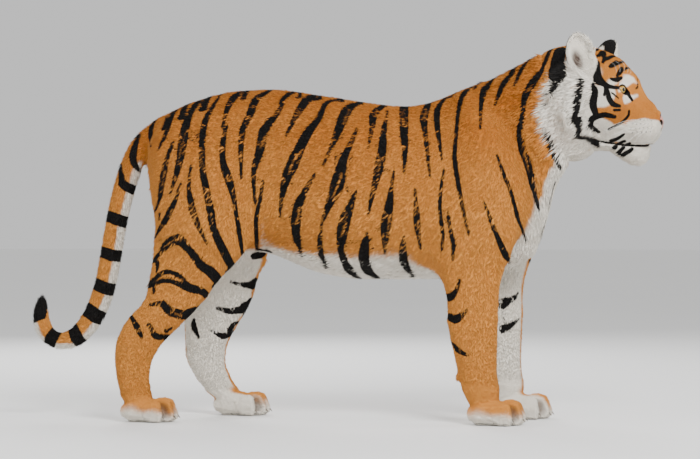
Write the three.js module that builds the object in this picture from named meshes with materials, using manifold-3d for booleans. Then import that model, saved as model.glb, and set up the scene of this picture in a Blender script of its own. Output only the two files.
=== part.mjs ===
// Adult male Bengal tiger, standing square with the head raised: a life-size, still museum model.
// Millimetres. +X is forward, +Y is the animal's left, +Z is up, and the floor is z = 0.
//
// Each form is a sphere whose rings are laid between two edge lines of the side view, such as the back and
// the belly, with a half width across the animal. The forms are joined and relaxed into one body, which thin
// blades then part into named lengths. The head is modelled facing straight ahead and then turned a little.

import * as THREE from "three";
import { mergeVertices } from "three/addons/utils/BufferGeometryUtils.js";
import Module from "manifold-3d";

const wasm = await Module();
wasm.setup();

// ---- driving dimensions ---------------------------------------------------------------------------------
const GAP = 0.35; // clear space between parts that touch
const FORE_STANCE = 128; // from the midline to the middle of a fore paw
const HIND_STANCE = 132; // the same for a hind paw
const FORE_REACH = 58; // how far the left fore paw stands ahead of the right one
const HEAD_TURN = THREE.MathUtils.degToRad(-5); // towards the animal's right
const HEAD_PIVOT = new THREE.Vector3(610, 0, 960); // the joint of skull and neck
const EYE_RADIUS = 19;
const EYE = new THREE.Vector3(817, 58, 980); // centre of the left eyeball, before the head is turned
const EAR_HEIGHT = 132;
const EAR_WIDTH = 90;

// ---- solids ---------------------------------------------------------------------------------------------
function solidOf(geometry) {
  const bare = new THREE.BufferGeometry();
  bare.setAttribute("position", geometry.getAttribute("position"));
  bare.setIndex(geometry.index);
  const merged = mergeVertices(bare, 1e-3);
  const vertProperties = new Float32Array(merged.attributes.position.array);
  const triVerts = new Uint32Array(merged.index.array);
  const make = () => new wasm.Manifold(new wasm.Mesh({ numProp: 3, vertProperties, triVerts }));
  const solid = make();
  if (solid.volume() > 0) return solid;
  for (let i = 0; i < triVerts.length; i += 3) {
    [triVerts[i + 1], triVerts[i + 2]] = [triVerts[i + 2], triVerts[i + 1]];
  }
  return make();
}

function geometryOf(solid) {
  const { vertProperties, triVerts, numProp } = solid.getMesh();
  const positions = new Float32Array((vertProperties.length / numProp) * 3);
  for (let i = 0; i < positions.length / 3; i++) {
    positions.set(vertProperties.subarray(i * numProp, i * numProp + 3), i * 3);
  }
  const geometry = new THREE.BufferGeometry();
  geometry.setAttribute("position", new THREE.BufferAttribute(positions, 3));
  geometry.setIndex(new THREE.BufferAttribute(new Uint32Array(triVerts), 1));
  return geometry;
}

const join = (...solids) => wasm.Manifold.union(solids.flat());

function largest(solid) {
  const pieces = solid.decompose();
  return pieces.reduce((best, piece) => (piece.volume() > best.volume() ? piece : best));
}

// ---- forms ----------------------------------------------------------------------------------------------
const smooth = (low, high, x) => THREE.MathUtils.smoothstep(x, low, high);
const powered = (value, power) => Math.sign(value) * Math.abs(value) ** power;

// A closed form through stations. Each station spans from edge point a to edge point b, both [x, z] in the
// side view, with half width w about the offset y. egg widens it towards a, and box above 2 squares it.
function loft(stations, around = 16, along = 20) {
  const line = (read) => new THREE.CatmullRomCurve3(stations.map((s) => new THREE.Vector3(...read(s))));
  const edgeA = line((s) => [s.a[0], 0, s.a[1]]);
  const edgeB = line((s) => [s.b[0], 0, s.b[1]]);
  const size = line((s) => [s.w, s.y ?? 0, 100 * (s.egg ?? 0)]);
  const squareness = line((s) => [s.box ?? 2, 0, 0]);
  const middle = (t) => edgeA.getPoint(t).add(edgeB.getPoint(t)).multiplyScalar(0.5);
  const steps = 240;
  const lengths = [0];
  for (let i = 1; i <= steps; i++) {
    lengths.push(lengths[i - 1] + middle(i / steps).distanceTo(middle((i - 1) / steps)));
  }
  const atLength = (share) => {
    const wanted = share * lengths[steps];
    const i = Math.min(steps - 1, lengths.findIndex((l) => l >= wanted - 1e-9));
    if (i <= 0) return 0;
    return (i - 1 + (wanted - lengths[i - 1]) / (lengths[i] - lengths[i - 1])) / steps;
  };
  const geometry = new THREE.SphereGeometry(1, around, along);
  const { position } = geometry.attributes;
  const row = around + 1;
  for (let i = 0; i < position.count; i++) {
    const ring = Math.floor(i / row);
    const angle = (2 * Math.PI * (i % row)) / around;
    const t = atLength(THREE.MathUtils.clamp((ring - 1) / (along - 2), 0, 1));
    const centre = middle(t);
    const half = edgeA.getPoint(t).sub(edgeB.getPoint(t)).multiplyScalar(0.5);
    const s = size.getPoint(t);
    const power = 2 / squareness.getPoint(t).x;
    const pole = ring === 0 || ring === along ? 0 : 1;
    const up = pole * powered(Math.cos(angle), power);
    const out = pole * powered(Math.sin(angle), power) * (1 + (s.z / 100) * Math.cos(angle));
    centre.addScaledVector(half, up);
    centre.y = s.y + out * s.x;
    position.setXYZ(i, centre.x, centre.y, centre.z);
  }
  return geometry;
}

// A round form along a path of [x, y, z, radius] points that lies nearly in the side view.
function rope(path, around = 12, along = 20) {
  const points = path.map(([x, y, z]) => new THREE.Vector3(x, y, z));
  return loft(
    path.map(([x, y, z, r], i) => {
      const ahead = points[Math.min(i + 1, points.length - 1)];
      const behind = points[Math.max(i - 1, 0)];
      const dx = ahead.x - behind.x;
      const dz = ahead.z - behind.z;
      const length = Math.hypot(dx, dz);
      const n = [(-dz / length) * r, (dx / length) * r];
      return { a: [x + n[0], z + n[1]], b: [x - n[0], z - n[1]], y, w: r };
    }),
    around,
    along,
  );
}

function ellipsoid([x, y, z], [rx, ry, rz], { pitch = 0, yaw = 0, roll = 0, around = 14, along = 10 } = {}) {
  const geometry = new THREE.SphereGeometry(1, around, along);
  const turn = new THREE.Quaternion().setFromEuler(
    new THREE.Euler(...[roll, -pitch, yaw].map(THREE.MathUtils.degToRad), "ZYX"),
  );
  const matrix = new THREE.Matrix4().compose(
    new THREE.Vector3(x, y, z),
    turn,
    new THREE.Vector3(rx, ry, rz),
  );
  return geometry.applyMatrix4(matrix);
}

// Moves every vertex along the mean normal of its faces.
function grown(solid, distance) {
  const geometry = geometryOf(solid);
  geometry.computeVertexNormals();
  const { position, normal } = geometry.attributes;
  for (let i = 0; i < position.count; i++) {
    position.setXYZ(
      i,
      position.getX(i) + distance * normal.getX(i),
      position.getY(i) + distance * normal.getY(i),
      position.getZ(i) + distance * normal.getZ(i),
    );
  }
  return solidOf(geometry);
}

// Evens out the creases where forms join, by passes that shrink and then swell the surface.
function relaxed(solid, passes, shrink = 0.55, swell = -0.57) {
  const geometry = geometryOf(solid);
  const { position } = geometry.attributes;
  const faces = geometry.index.array;
  const neighbours = Array.from({ length: position.count }, () => new Set());
  for (let i = 0; i < faces.length; i += 3) {
    for (let k = 0; k < 3; k++) neighbours[faces[i + k]].add(faces[i + ((k + 1) % 3)]);
  }
  let points = [];
  for (let i = 0; i < position.count; i++) points.push(new THREE.Vector3().fromBufferAttribute(position, i));
  for (let pass = 0; pass < 2 * passes; pass++) {
    const share = pass % 2 ? swell : shrink;
    points = points.map((p, i) => {
      const mean = new THREE.Vector3();
      for (const n of neighbours[i]) mean.add(points[n]);
      return p.clone().lerp(mean.divideScalar(neighbours[i].size), share);
    });
  }
  points.forEach((p, i) => position.setXYZ(i, p.x, p.y, p.z));
  return solidOf(geometry);
}

// A thin cut across the side view from point a to point b, [x, z], between y0 and y1.
function blade(a, b, y0 = -400, y1 = 400) {
  const geometry = new THREE.BoxGeometry(Math.hypot(b[0] - a[0], b[1] - a[1]), y1 - y0, GAP);
  geometry.rotateY(-Math.atan2(b[1] - a[1], b[0] - a[0]));
  geometry.translate((a[0] + b[0]) / 2, (y0 + y1) / 2, (a[1] + b[1]) / 2);
  return solidOf(geometry);
}

function box(low, high) {
  const geometry = new THREE.BoxGeometry(...high.map((h, i) => h - low[i]));
  return solidOf(geometry.translate(...high.map((h, i) => (h + low[i]) / 2)));
}

// ---- torso and neck -------------------------------------------------------------------------------------
const torso = () =>
  loft(
    [
      { a: [-612, 850], b: [-598, 640], w: 60 },
      { a: [-590, 898], b: [-582, 560], w: 108 },
      { a: [-530, 940], b: [-530, 520], w: 142 },
      { a: [-438, 972], b: [-448, 498], w: 164, egg: -0.05 },
      { a: [-335, 993], b: [-345, 493], w: 172, egg: -0.1 },
      { a: [-243, 997], b: [-253, 500], w: 172, egg: -0.1 },
      { a: [-151, 987], b: [-161, 466], w: 178, egg: -0.1 },
      { a: [-60, 974], b: [-60, 434], w: 188, egg: -0.12 },
      { a: [60, 955], b: [60, 421], w: 198, egg: -0.12 },
      { a: [170, 943], b: [170, 418], w: 200, egg: -0.12 },
      { a: [250, 950], b: [250, 414], w: 194, egg: -0.18 },
      { a: [330, 995], b: [340, 416], w: 182, egg: -0.25 },
      { a: [402, 1013], b: [420, 425], w: 168, egg: -0.25 },
      { a: [452, 1008], b: [488, 440], w: 150, egg: -0.15 },
      { a: [486, 948], b: [554, 476], w: 122 },
      { a: [516, 880], b: [590, 545], w: 86 },
      { a: [541, 800], b: [603, 620], w: 40 },
    ],
    22,
    23,
  );

const neck = () =>
  loft(
    [
      { a: [333, 940], b: [470, 480], w: 110 },
      { a: [398, 1010], b: [558, 492], w: 150, egg: -0.15 },
      { a: [452, 1033], b: [595, 570], w: 152, egg: -0.12 },
      { a: [510, 1060], b: [610, 638], w: 144, egg: -0.08 },
      { a: [562, 1086], b: [630, 708], w: 132 },
      { a: [610, 1106], b: [652, 752], w: 122 },
      { a: [660, 1106], b: [690, 795], w: 96 },
    ],
    22,
    12,
  );

const tailPath = [
  [-548, 0, 880, 46],
  [-604, 0, 843, 44],
  [-642, -2, 792, 41],
  [-668, -5, 730, 38],
  [-688, -8, 661, 37],
  [-704, -11, 585, 36.5],
  [-718, -14, 499, 36.5],
  [-733, -17, 416, 36.5],
  [-757, -21, 340, 36.5],
  [-790, -26, 281, 35.5],
  [-829, -31, 244, 34],
  [-869, -36, 234, 32.5],
  [-904, -41, 250, 31.5],
  [-924, -45, 286, 30.5],
  [-928, -47, 326, 28.5],
  [-925, -48, 354, 22],
  [-921, -48, 367, 9],
];

// ---- legs -----------------------------------------------------------------------------------------------
// side is -1 for the right legs and +1 for the left ones. Each level is [z, front x, back x, half width, y].
const foreLevels = [
  [980, 440, 345, 34, 52],
  [898, 480, 312, 54, 104],
  [800, 519, 289, 66, 130],
  [700, 546, 274, 74, 141],
  [600, 548, 265, 78, 146],
  [502, 519, 272, 75, 148],
  [415, 481, 287, 66, 148],
  [354, 474, 296, 61, 146],
  [307, 469, 305, 57, 143],
  [261, 465, 317, 52, 140],
  [214, 461, 329, 49, 137],
  [168, 457, 340, 47, 133],
  [124, 460, 348, 49, 130],
  [84, 471, 359, 52, 128],
  [50, 478, 368, 50, 128],
];

function foreLeg(side) {
  const reach = side > 0 ? FORE_REACH : 0;
  return loft(
    foreLevels.map(([z, front, back, w, y]) => {
      const swing = reach * (1 - smooth(430, 960, z));
      return { a: [front + swing, z], b: [back + swing, z], w, y: side * y };
    }),
    12,
    18,
  );
}

const rightHindLevels = [
  [928, -335, -525, 46, 70],
  [850, -290, -584, 68, 100],
  [760, -258, -598, 80, 112],
  [670, -250, -593, 84, 117],
  [590, -251, -584, 84, 120],
  [510, -262, -577, 79, 123],
  [466, -306, -579, 74, 125],
  [419, -349, -587, 67, 128],
  [373, -392, -603, 60, 130],
  [326, -434, -626, 53, 132],
  [300, -460, -646, 48, 132],
  [276, -487, -670, 44, 132],
  [252, -513, -683, 42, 132],
  [228, -538, -681, 41, 132],
  [205, -558, -678, 40, 132],
  [181, -570, -680, 40, 132],
  [134, -576, -677, 40, 132],
  [90, -569, -669, 43, 132],
  [55, -559, -657, 46, 132],
  [34, -552, -647, 42, 132],
];

const leftHindLevels = [
  [928, -330, -520, 46, 70],
  [850, -284, -580, 68, 100],
  [760, -256, -598, 80, 113],
  [670, -242, -592, 84, 120],
  [590, -238, -582, 84, 126],
  [500, -236, -572, 79, 134],
  [440, -259, -568, 72, 140],
  [391, -285, -558, 65, 145],
  [341, -313, -543, 57, 149],
  [298, -343, -524, 49, 152],
  [267, -359, -517, 45, 153],
  [241, -376, -523, 42, 154],
  [215, -390, -532, 41, 155],
  [190, -398, -532, 40, 156],
  [167, -398, -521, 40, 156],
  [142, -392, -511, 40, 157],
  [117, -378, -494, 40, 158],
  [91, -362, -474, 43, 158],
  [62, -343, -448, 46, 158],
  [36, -325, -423, 42, 158],
];

const hindLeg = (side) =>
  loft(
    (side < 0 ? rightHindLevels : leftHindLevels).map(([z, front, back, w, y]) => {
      return { a: [front, z], b: [back, z], w, y: side * y };
    }),
    12,
    21,
  );

// A paw that faces forward, with its heel at x = heel and the tips of its middle toes at x = heel + length.
function paw({ heel, y, side, length, width, height }) {
  const at = (share) => heel + share * length;
  const foot = loft(
    [
      { a: [at(0.02), 0.62 * height], b: [at(0.05), 0.2 * height], y, w: 0.26 * width },
      { a: [at(0.12), 1.05 * height], b: [at(0.12), -2], y, w: 0.36 * width, box: 2.3 },
      { a: [at(0.35), 1.12 * height], b: [at(0.35), -6], y, w: 0.42 * width, box: 2.4 },
      { a: [at(0.6), 0.98 * height], b: [at(0.6), -6], y, w: 0.46 * width, box: 2.4 },
      { a: [at(0.76), 0.72 * height], b: [at(0.76), -2], y, w: 0.42 * width, box: 2.2 },
    ],
    10,
    6,
  );
  const toeWidth = 0.31 * width;
  const toes = [-1.5, -0.5, 0.5, 1.5].map((place) => {
    const outer = Math.abs(place) > 1 ? 1 : 0;
    const back = at(0.52 - 0.06 * outer);
    const tip = at(1 - 0.1 * outer);
    const span = tip - back;
    const rise = height * (1 - 0.1 * outer);
    const toeY = y + place * (0.226 * width);
    const splay = place * 0.012 * width;
    const level = (share, top, bottom, w) => ({
      a: [back + share * span, top * rise],
      b: [back + share * span, bottom],
      y: toeY + share * splay,
      w: (w * toeWidth) / 2,
    });
    return loft(
      [
        level(0, 0.85, 10, 0.8),
        level(0.3, 1.04, -4, 1.0),
        level(0.6, 1.03, -6, 1.1),
        level(0.85, 0.87, -4, 1.1),
        level(0.97, 0.6, 3, 0.88),
        level(1, 0.42, 9, 0.5),
      ],
      8,
      6,
    );
  });
  const forms = [foot, ...toes];
  if (side) {
    const inner = y - side * 0.44 * width;
    forms.push(ellipsoid([at(0.28), inner, 0.95 * height], [18, 12, 14], { around: 8, along: 6 }));
  }
  return join(forms.map(solidOf));
}

const paws = {
  right_fore: { heel: 365, y: -FORE_STANCE, side: -1, length: 177, width: 134, height: 74 },
  left_fore: { heel: 371 + FORE_REACH, y: FORE_STANCE, side: 1, length: 180, width: 134, height: 75 },
  right_hind: { heel: -666, y: -HIND_STANCE, side: 0, length: 175, width: 116, height: 72 },
  left_hind: { heel: -438, y: HIND_STANCE + 26, side: 0, length: 178, width: 116, height: 72 },
};

// ---- the body, joined and relaxed -----------------------------------------------------------------------
const bodyForms = [torso(), neck(), rope(tailPath, 10, 34), foreLeg(-1), foreLeg(1), hindLeg(-1), hindLeg(1)];
const carpalPads = [-1, 1].map((side) => {
  const reach = side > 0 ? FORE_REACH : 0;
  return solidOf(ellipsoid([347 + reach, side * 132, 142], [14, 17, 17], { around: 8, along: 6 }));
});
const smoothBody = relaxed(join(bodyForms.map(solidOf)), 8);
const floor = box([-1500, -600, -200], [1500, 600, 0]);
const body = join(smoothBody, carpalPads, Object.values(paws).map(paw)).subtract(floor);

// ---- parting the body -----------------------------------------------------------------------------------
const tailCuts = [4.4, 6.6, 8.6, 11.4];
const cuts = [
  blade([556, 1180], [684, 700]), // neck and head
  blade([372, 1100], [636, 500]), // neck and chest
  blade([225, 380], [225, 1100]), // chest and loin
  blade([-240, 380], [-240, 1100]), // loin and rump
  blade([-617, 700], [-617, 940], -90, 90), // rump and tail
];
for (const side of [-1, 1]) {
  const reach = side > 0 ? FORE_REACH : 0;
  const span = side < 0 ? [-400, -1] : [1, 400];
  const wall = new THREE.BoxGeometry(600, GAP, 700).translate(225 + 300, side * 108, 720);
  cuts.push(solidOf(wall)); // chest and shoulder
  cuts.push(blade([216 + reach, 398], [576 + reach, 406], ...span)); // elbow
  cuts.push(blade([316 + reach, 130], [496 + reach, 120], ...span)); // wrist
  const slope = new THREE.BoxGeometry(420, 460, GAP)
    .rotateX(side * THREE.MathUtils.degToRad(62))
    .translate(-450, side * 110, 632);
  cuts.push(solidOf(slope)); // rump and thigh
}
cuts.push(blade([-325, 438], [-640, 350], -400, -1)); // right knee
cuts.push(blade([-545, 182], [-720, 212], -400, -1)); // right hock
cuts.push(blade([-535, 88], [-710, 88], -400, -1)); // right hind paw
cuts.push(blade([-225, 418], [-625, 370], 1, 400)); // left knee
cuts.push(blade([-365, 167], [-555, 189], 1, 400)); // left hock
cuts.push(blade([-295, 100], [-525, 70], 1, 400)); // left hind paw
for (const cut of tailCuts) {
  const i = Math.floor(cut);
  const [from, to] = [tailPath[i], tailPath[i + 1]];
  const [x, , z] = from.map((v, k) => v + (cut - i) * (to[k] - v));
  const angle = Math.atan2(to[2] - from[2], to[0] - from[0]) + Math.PI / 2;
  const reach = [Math.cos(angle) * 48, Math.sin(angle) * 48];
  cuts.push(blade([x - reach[0], z - reach[1]], [x + reach[0], z + reach[1]], -110, 60));
}
const pieces = body.subtract(join(cuts)).decompose();

// A point inside each part of the body names the piece that holds it.
const insides = {
  neck: [540, 0, 850],
  chest: [380, 0, 650],
  loin: [0, 0, 700],
  rump: [-400, 0, 800],
  tail_root: [-668, -5, 730],
  tail_middle: [-714, -12, 545],
  tail_lower: [-750, -19, 378],
  tail_curl: [-829, -31, 244],
  tail_tip: [-924, -45, 286],
  right_shoulder: [410, -150, 600],
  left_shoulder: [450, 150, 600],
  right_forearm: [396, -140, 258],
  left_forearm: [396 + FORE_REACH, 140, 258],
  right_fore_paw: [426, -FORE_STANCE, 60],
  left_fore_paw: [426 + FORE_REACH, FORE_STANCE, 60],
  right_thigh: [-440, -130, 560],
  left_thigh: [-420, 130, 560],
  right_lower_leg: [-565, -132, 300],
  left_lower_leg: [-436, 152, 300],
  right_hind_foot: [-625, -132, 138],
  left_hind_foot: [-452, 157, 140],
  right_hind_paw: [-595, -132, 50],
  left_hind_paw: [-366, 158, 50],
};
const parts = {};
for (const [name, inside] of Object.entries(insides)) {
  const probe = solidOf(ellipsoid(inside, [4, 4, 4], { around: 6, along: 4 }));
  parts[name] = pieces.find((piece) => piece.intersect(probe).volume() > 1);
  if (!parts[name]) throw new Error("no piece of the body holds the point of " + name);
}

// ---- head -----------------------------------------------------------------------------------------------
const headTurn = new THREE.Matrix4()
  .makeTranslation(...HEAD_PIVOT.toArray())
  .multiply(new THREE.Matrix4().makeRotationZ(HEAD_TURN))
  .multiply(new THREE.Matrix4().makeTranslation(...HEAD_PIVOT.clone().negate().toArray()));
const headSolid = (geometry) => solidOf(geometry.applyMatrix4(headTurn));
const both = (make) => [-1, 1].map((side) => headSolid(make(side)));

// Pushes the surface round each point [x, y, z] on the left side, and its twin on the right, by [dx, dy, dz],
// fading over the given reach.
function sculpted(geometry, pushes) {
  const { position } = geometry.attributes;
  const shift = new THREE.Vector3();
  for (let i = 0; i < position.count; i++) {
    const p = new THREE.Vector3().fromBufferAttribute(position, i);
    shift.set(0, 0, 0);
    for (const [at, reach, by] of pushes) {
      for (const side of at[1] === 0 ? [0] : [-1, 1]) {
        const dy = p.y - (side || 1) * at[1];
        const far = Math.hypot(p.x - at[0], dy, p.z - at[2]) / reach;
        if (far >= 1) continue;
        const share = (1 - far * far) ** 2;
        shift.x += share * by[0];
        shift.y += share * by[1] * side;
        shift.z += share * by[2];
      }
    }
    position.setXYZ(i, p.x + shift.x, p.y + shift.y, p.z + shift.z);
  }
  return geometry;
}

const skull = () =>
  sculpted(
    loft(
      [
        { a: [556, 1066], b: [588, 846], w: 66 },
        { a: [600, 1102], b: [630, 792], w: 106 },
        { a: [652, 1116], b: [674, 773], w: 122 },
        { a: [705, 1117], b: [715, 782], w: 126, egg: -0.05 },
        { a: [752, 1107], b: [748, 808], w: 126, egg: -0.08 },
        { a: [791, 1092], b: [776, 819], w: 122, egg: -0.12 },
        { a: [828, 1070], b: [800, 822], w: 108, egg: -0.2 },
        { a: [854, 1046], b: [822, 821], w: 82, egg: -0.34 },
        { a: [870, 1021], b: [841, 821], w: 69, egg: -0.4, box: 2.2 },
        { a: [881, 991], b: [858, 820], w: 63, egg: -0.38, box: 2.4 },
        { a: [894, 965], b: [873, 819], w: 60, egg: -0.32, box: 2.6 },
        { a: [911, 943], b: [888, 818], w: 58, egg: -0.24, box: 2.6 },
        { a: [928, 923], b: [904, 818], w: 53, egg: -0.16, box: 2.5 },
        { a: [938, 904], b: [917, 824], w: 43, egg: -0.08, box: 2.3 },
        { a: [941, 887], b: [926, 838], w: 26 },
      ],
      28,
      32,
    ),
    [
      [[826, 66, 980], 36, [-5, -4, 0]], // eye sockets
      [[846, 44, 980], 24, [-4, -6, 0]], // inner corners of the eyes
      [[838, 50, 1022], 44, [6, 6, 6]], // brows
      [[786, 112, 930], 84, [0, 12, 0]], // cheekbones
      [[680, 120, 880], 110, [8, 26, 6]], // jowls under the ruff
      [[730, 112, 858], 70, [0, 14, 2]], // cheeks below them
      [[888, 58, 858], 50, [6, 11, -2]], // whisker pads
      [[846, 80, 906], 40, [0, -6, 0]], // hollows behind them
      [[858, 0, 1054], 46, [-4, 0, -4]], // furrow of the forehead
      [[928, 0, 842], 20, [-9, 0, 0]], // split of the lip
      [[915, 0, 818], 26, [0, 0, 9]], // notch where the pads meet
      [[706, 84, 1088], 60, [0, 10, 8]], // roots of the ears
    ],
  );

// Where a line across the animal at [x, z] first meets a form, and the way its surface faces there.
function sideOf(geometry, x, z, side) {
  const { position } = geometry.attributes;
  const index = geometry.index.array;
  const corners = [new THREE.Vector3(), new THREE.Vector3(), new THREE.Vector3()];
  const ray = new THREE.Ray(new THREE.Vector3(x, side * 400, z), new THREE.Vector3(0, -side, 0));
  const hit = new THREE.Vector3();
  let best = null;
  for (let i = 0; i < index.length; i += 3) {
    corners.forEach((corner, k) => corner.fromBufferAttribute(position, index[i + k]));
    if (!ray.intersectTriangle(...corners, false, hit)) continue;
    if (best && best.point.y * side > hit.y * side) continue;
    const facing = new THREE.Triangle(...corners).getNormal(new THREE.Vector3());
    if (facing.y * side < 0) facing.negate();
    best = { point: hit.clone(), facing };
  }
  return best;
}

const skullForm = skull();

// The upper lip is a rolled edge of the muzzle, laid through [x, z] on the side of the head.
const UPPER_LIP = [[762, 840], [790, 834], [820, 831], [850, 829], [880, 829], [906, 832]];
const UPPER_LIP_RADIUS = 7;
function upperLip(side) {
  const path = UPPER_LIP.map(([x, z]) => {
    const { point, facing } = sideOf(skullForm, x, z, side);
    point.addScaledVector(facing, -0.1 * UPPER_LIP_RADIUS);
    return [...point.toArray(), UPPER_LIP_RADIUS];
  });
  return rope(path, 6, 7);
}

// The lower lip is a roll along the top of the jaw, through [x, y, z] on its left side.
const LOWER_LIP = [
  [750, 50, 824],
  [790, 58, 818],
  [830, 53, 812],
  [862, 46, 809],
  [886, 34, 809],
  [898, 18, 808],
];
const LOWER_LIP_RADIUS = 8;
const lowerLip = (side) => rope(LOWER_LIP.map(([x, y, z]) => [x, side * y, z, LOWER_LIP_RADIUS]), 6, 7);

const jawForm = headSolid(
  loft(
    [
      { a: [690, 840], b: [695, 802], w: 40 },
      { a: [735, 838], b: [742, 805], w: 56 },
      { a: [780, 834], b: [786, 802], w: 62, egg: 0.1 },
      { a: [822, 832], b: [822, 778], w: 56, egg: 0.1, box: 2.2 },
      { a: [860, 834], b: [855, 761], w: 50, egg: 0.1, box: 2.3 },
      { a: [891, 832], b: [883, 766], w: 42, box: 2.3 },
      { a: [907, 822], b: [901, 788], w: 22 },
    ],
    14,
    11,
  ),
);
const jaw = join(jawForm, both(lowerLip));

// The pad of the nose is the front of the muzzle within this outline [y, z], raised a little, with a nostril
// bored into each side.
const padOutline = new THREE.SplineCurve(
  [
    [0, 921],
    [24, 918],
    [34, 905],
    [30, 888],
    [16, 870],
    [5, 853],
  ].map(([y, z]) => new THREE.Vector2(y, z)),
);
function padPrism() {
  const half = padOutline.getPoints(7);
  const mirrored = half.map((p) => new THREE.Vector2(-p.x, p.y)).reverse();
  const shape = new THREE.Shape([...half, ...mirrored.slice(0, -1)]);
  const geometry = new THREE.ExtrudeGeometry(shape, { depth: 90, bevelEnabled: false });
  return headSolid(geometry.rotateX(Math.PI / 2).rotateZ(Math.PI / 2).translate(900, 0, 0));
}
const nostril = (side) =>
  ellipsoid([935, side * 20, 886], [18, 7.5, 9], { yaw: side * 34, pitch: 10, around: 8, along: 6 });

// A lid is a skin over the eyeball, open along an almond whose inner corner is low.
const EYE_TURN = THREE.MathUtils.degToRad(46); // from straight ahead to the middle of the opening
const eyeBall = (side, radius = EYE_RADIUS) =>
  ellipsoid([EYE.x, side * EYE.y, EYE.z], [radius, radius, radius], { around: 12, along: 8 });
const lids = (side) => eyeBall(side, EYE_RADIUS + 3.4);
function eyeOpening(side) {
  const inner = new THREE.Vector2(-22 * side, -7);
  const outer = new THREE.Vector2(21 * side, 4);
  const almond = new THREE.Shape();
  almond.moveTo(inner.x, inner.y);
  almond.quadraticCurveTo(-3 * side, 20, outer.x, outer.y);
  almond.quadraticCurveTo(3 * side, -15, inner.x, inner.y);
  const geometry = new THREE.ExtrudeGeometry(almond, { depth: 40, bevelEnabled: false, curveSegments: 7 });
  const gaze = new THREE.Vector3(Math.cos(EYE_TURN), side * Math.sin(EYE_TURN), 0);
  const up = new THREE.Vector3(0, 0, 1);
  const across = new THREE.Vector3().crossVectors(up, gaze);
  return geometry
    .applyMatrix4(new THREE.Matrix4().makeBasis(across, up, gaze))
    .translate(EYE.x, side * EYE.y, EYE.z);
}

// An ear is a bowl that leans out and forward, its rim left open to the front.
const earPose = {
  "-1": { at: [709, -98, 1081], turn: -60, lean: 14, tilt: 2 },
  1: { at: [760, 90, 1085], turn: 42, lean: 12, tilt: 31 },
};
function earPlace(side) {
  const { at, turn, lean, tilt } = earPose[side];
  const angles = [-side * lean, tilt, turn].map(THREE.MathUtils.degToRad);
  return new THREE.Matrix4()
    .makeTranslation(...at)
    .multiply(new THREE.Matrix4().makeRotationFromEuler(new THREE.Euler(...angles, "ZYX")));
}
function ear(side) {
  const place = (geometry) => headSolid(geometry.applyMatrix4(earPlace(side)));
  const shell = place(ellipsoid([0, 0, 0], [26, EAR_WIDTH / 2, EAR_HEIGHT / 2], { around: 14, along: 9 }));
  const hollow = [31, EAR_WIDTH / 2 - 6, EAR_HEIGHT / 2 - 5];
  const bowl = place(ellipsoid([16, 0, 4], hollow, { around: 12, along: 7 }));
  return { shell, bowl };
}

// ---- ruff -----------------------------------------------------------------------------------------------
// Rows of locks on the cheek, from below the ear, round the back of the jaw, to the corner of the mouth.
// Each row runs along a curve of [x, z] on the side of the head.
const RUFF_CENTRE = new THREE.Vector2(806, 1010); // the locks point away from here
const ruffRows = [
  { curve: [[688, 1006], [654, 950], [652, 886], [676, 838], [722, 816]], count: 7, length: 104, width: 56 },
  { curve: [[726, 986], [696, 934], [694, 880], [720, 848], [750, 842]], count: 6, length: 92, width: 52 },
];
const RUFF_SHORTENING = 0.3; // share of its length that a row's locks lose towards the mouth
const RUFF_SUNK = 0.26; // share of a lock's length that is inside the head
const RUFF_LIFT = 0.3; // how steeply a lock leaves the head
const RUFF_BEND = 0.2; // how far its tip bends back in, as a share of its length
const RUFF_THICKNESS = 0.3; // of a lock's width
const LOCK_SECTIONS = 3;
const LOCK_FULLNESS = [0.7, 1, 0.72, 0]; // of a lock's width, at each section

// A flat tapered lock, rooted at a point, that leaves the surface and bends back towards it at its tip.
function lock(point, facing, direction, length, width) {
  const geometry = new THREE.ConeGeometry(1, 1, 5, LOCK_SECTIONS);
  const along = direction.clone().normalize();
  const across = new THREE.Vector3().crossVectors(along, facing).normalize();
  const outward = new THREE.Vector3().crossVectors(across, along);
  const { position } = geometry.attributes;
  for (let i = 0; i < position.count; i++) {
    const share = position.getY(i) + 0.5;
    const taper = Math.max(1 - share, 1e-6);
    const half = 0.5 * width * LOCK_FULLNESS[Math.round(share * LOCK_SECTIONS)];
    const rise = length * (RUFF_LIFT * (share - RUFF_SUNK) - RUFF_BEND * share * share);
    const p = point
      .clone()
      .addScaledVector(along, (share - RUFF_SUNK) * length)
      .addScaledVector(across, (position.getX(i) / taper) * half)
      .addScaledVector(outward, rise + (position.getZ(i) / taper) * half * RUFF_THICKNESS);
    position.setXYZ(i, p.x, p.y, p.z);
  }
  return geometry;
}

function ruff(form, random) {
  const jitter = (size) => size * (random() - 0.5);
  const locks = [];
  for (const { curve, count, length, width } of ruffRows) {
    const row = new THREE.SplineCurve(curve.map(([x, z]) => new THREE.Vector2(x, z)));
    for (let i = 0; i < count; i++) {
      for (const side of [-1, 1]) {
        const root = row.getPointAt(Math.min(Math.max((i + jitter(0.4)) / (count - 1), 0), 1));
        const away = root.clone().sub(RUFF_CENTRE).normalize();
        const { point, facing } = sideOf(form, root.x, root.y, side);
        const direction = new THREE.Vector3(away.x, 0, away.y + jitter(0.2)).projectOnPlane(facing);
        const size = 1 - (RUFF_SHORTENING * i) / (count - 1) + jitter(0.2);
        locks.push(headSolid(lock(point, facing, direction, length * size, width * size)));
      }
    }
  }
  return locks;
}

function seeded(seed) {
  let state = seed;
  return () => {
    state = (state * 48271) % 2147483647;
    return state / 2147483647;
  };
}

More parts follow.
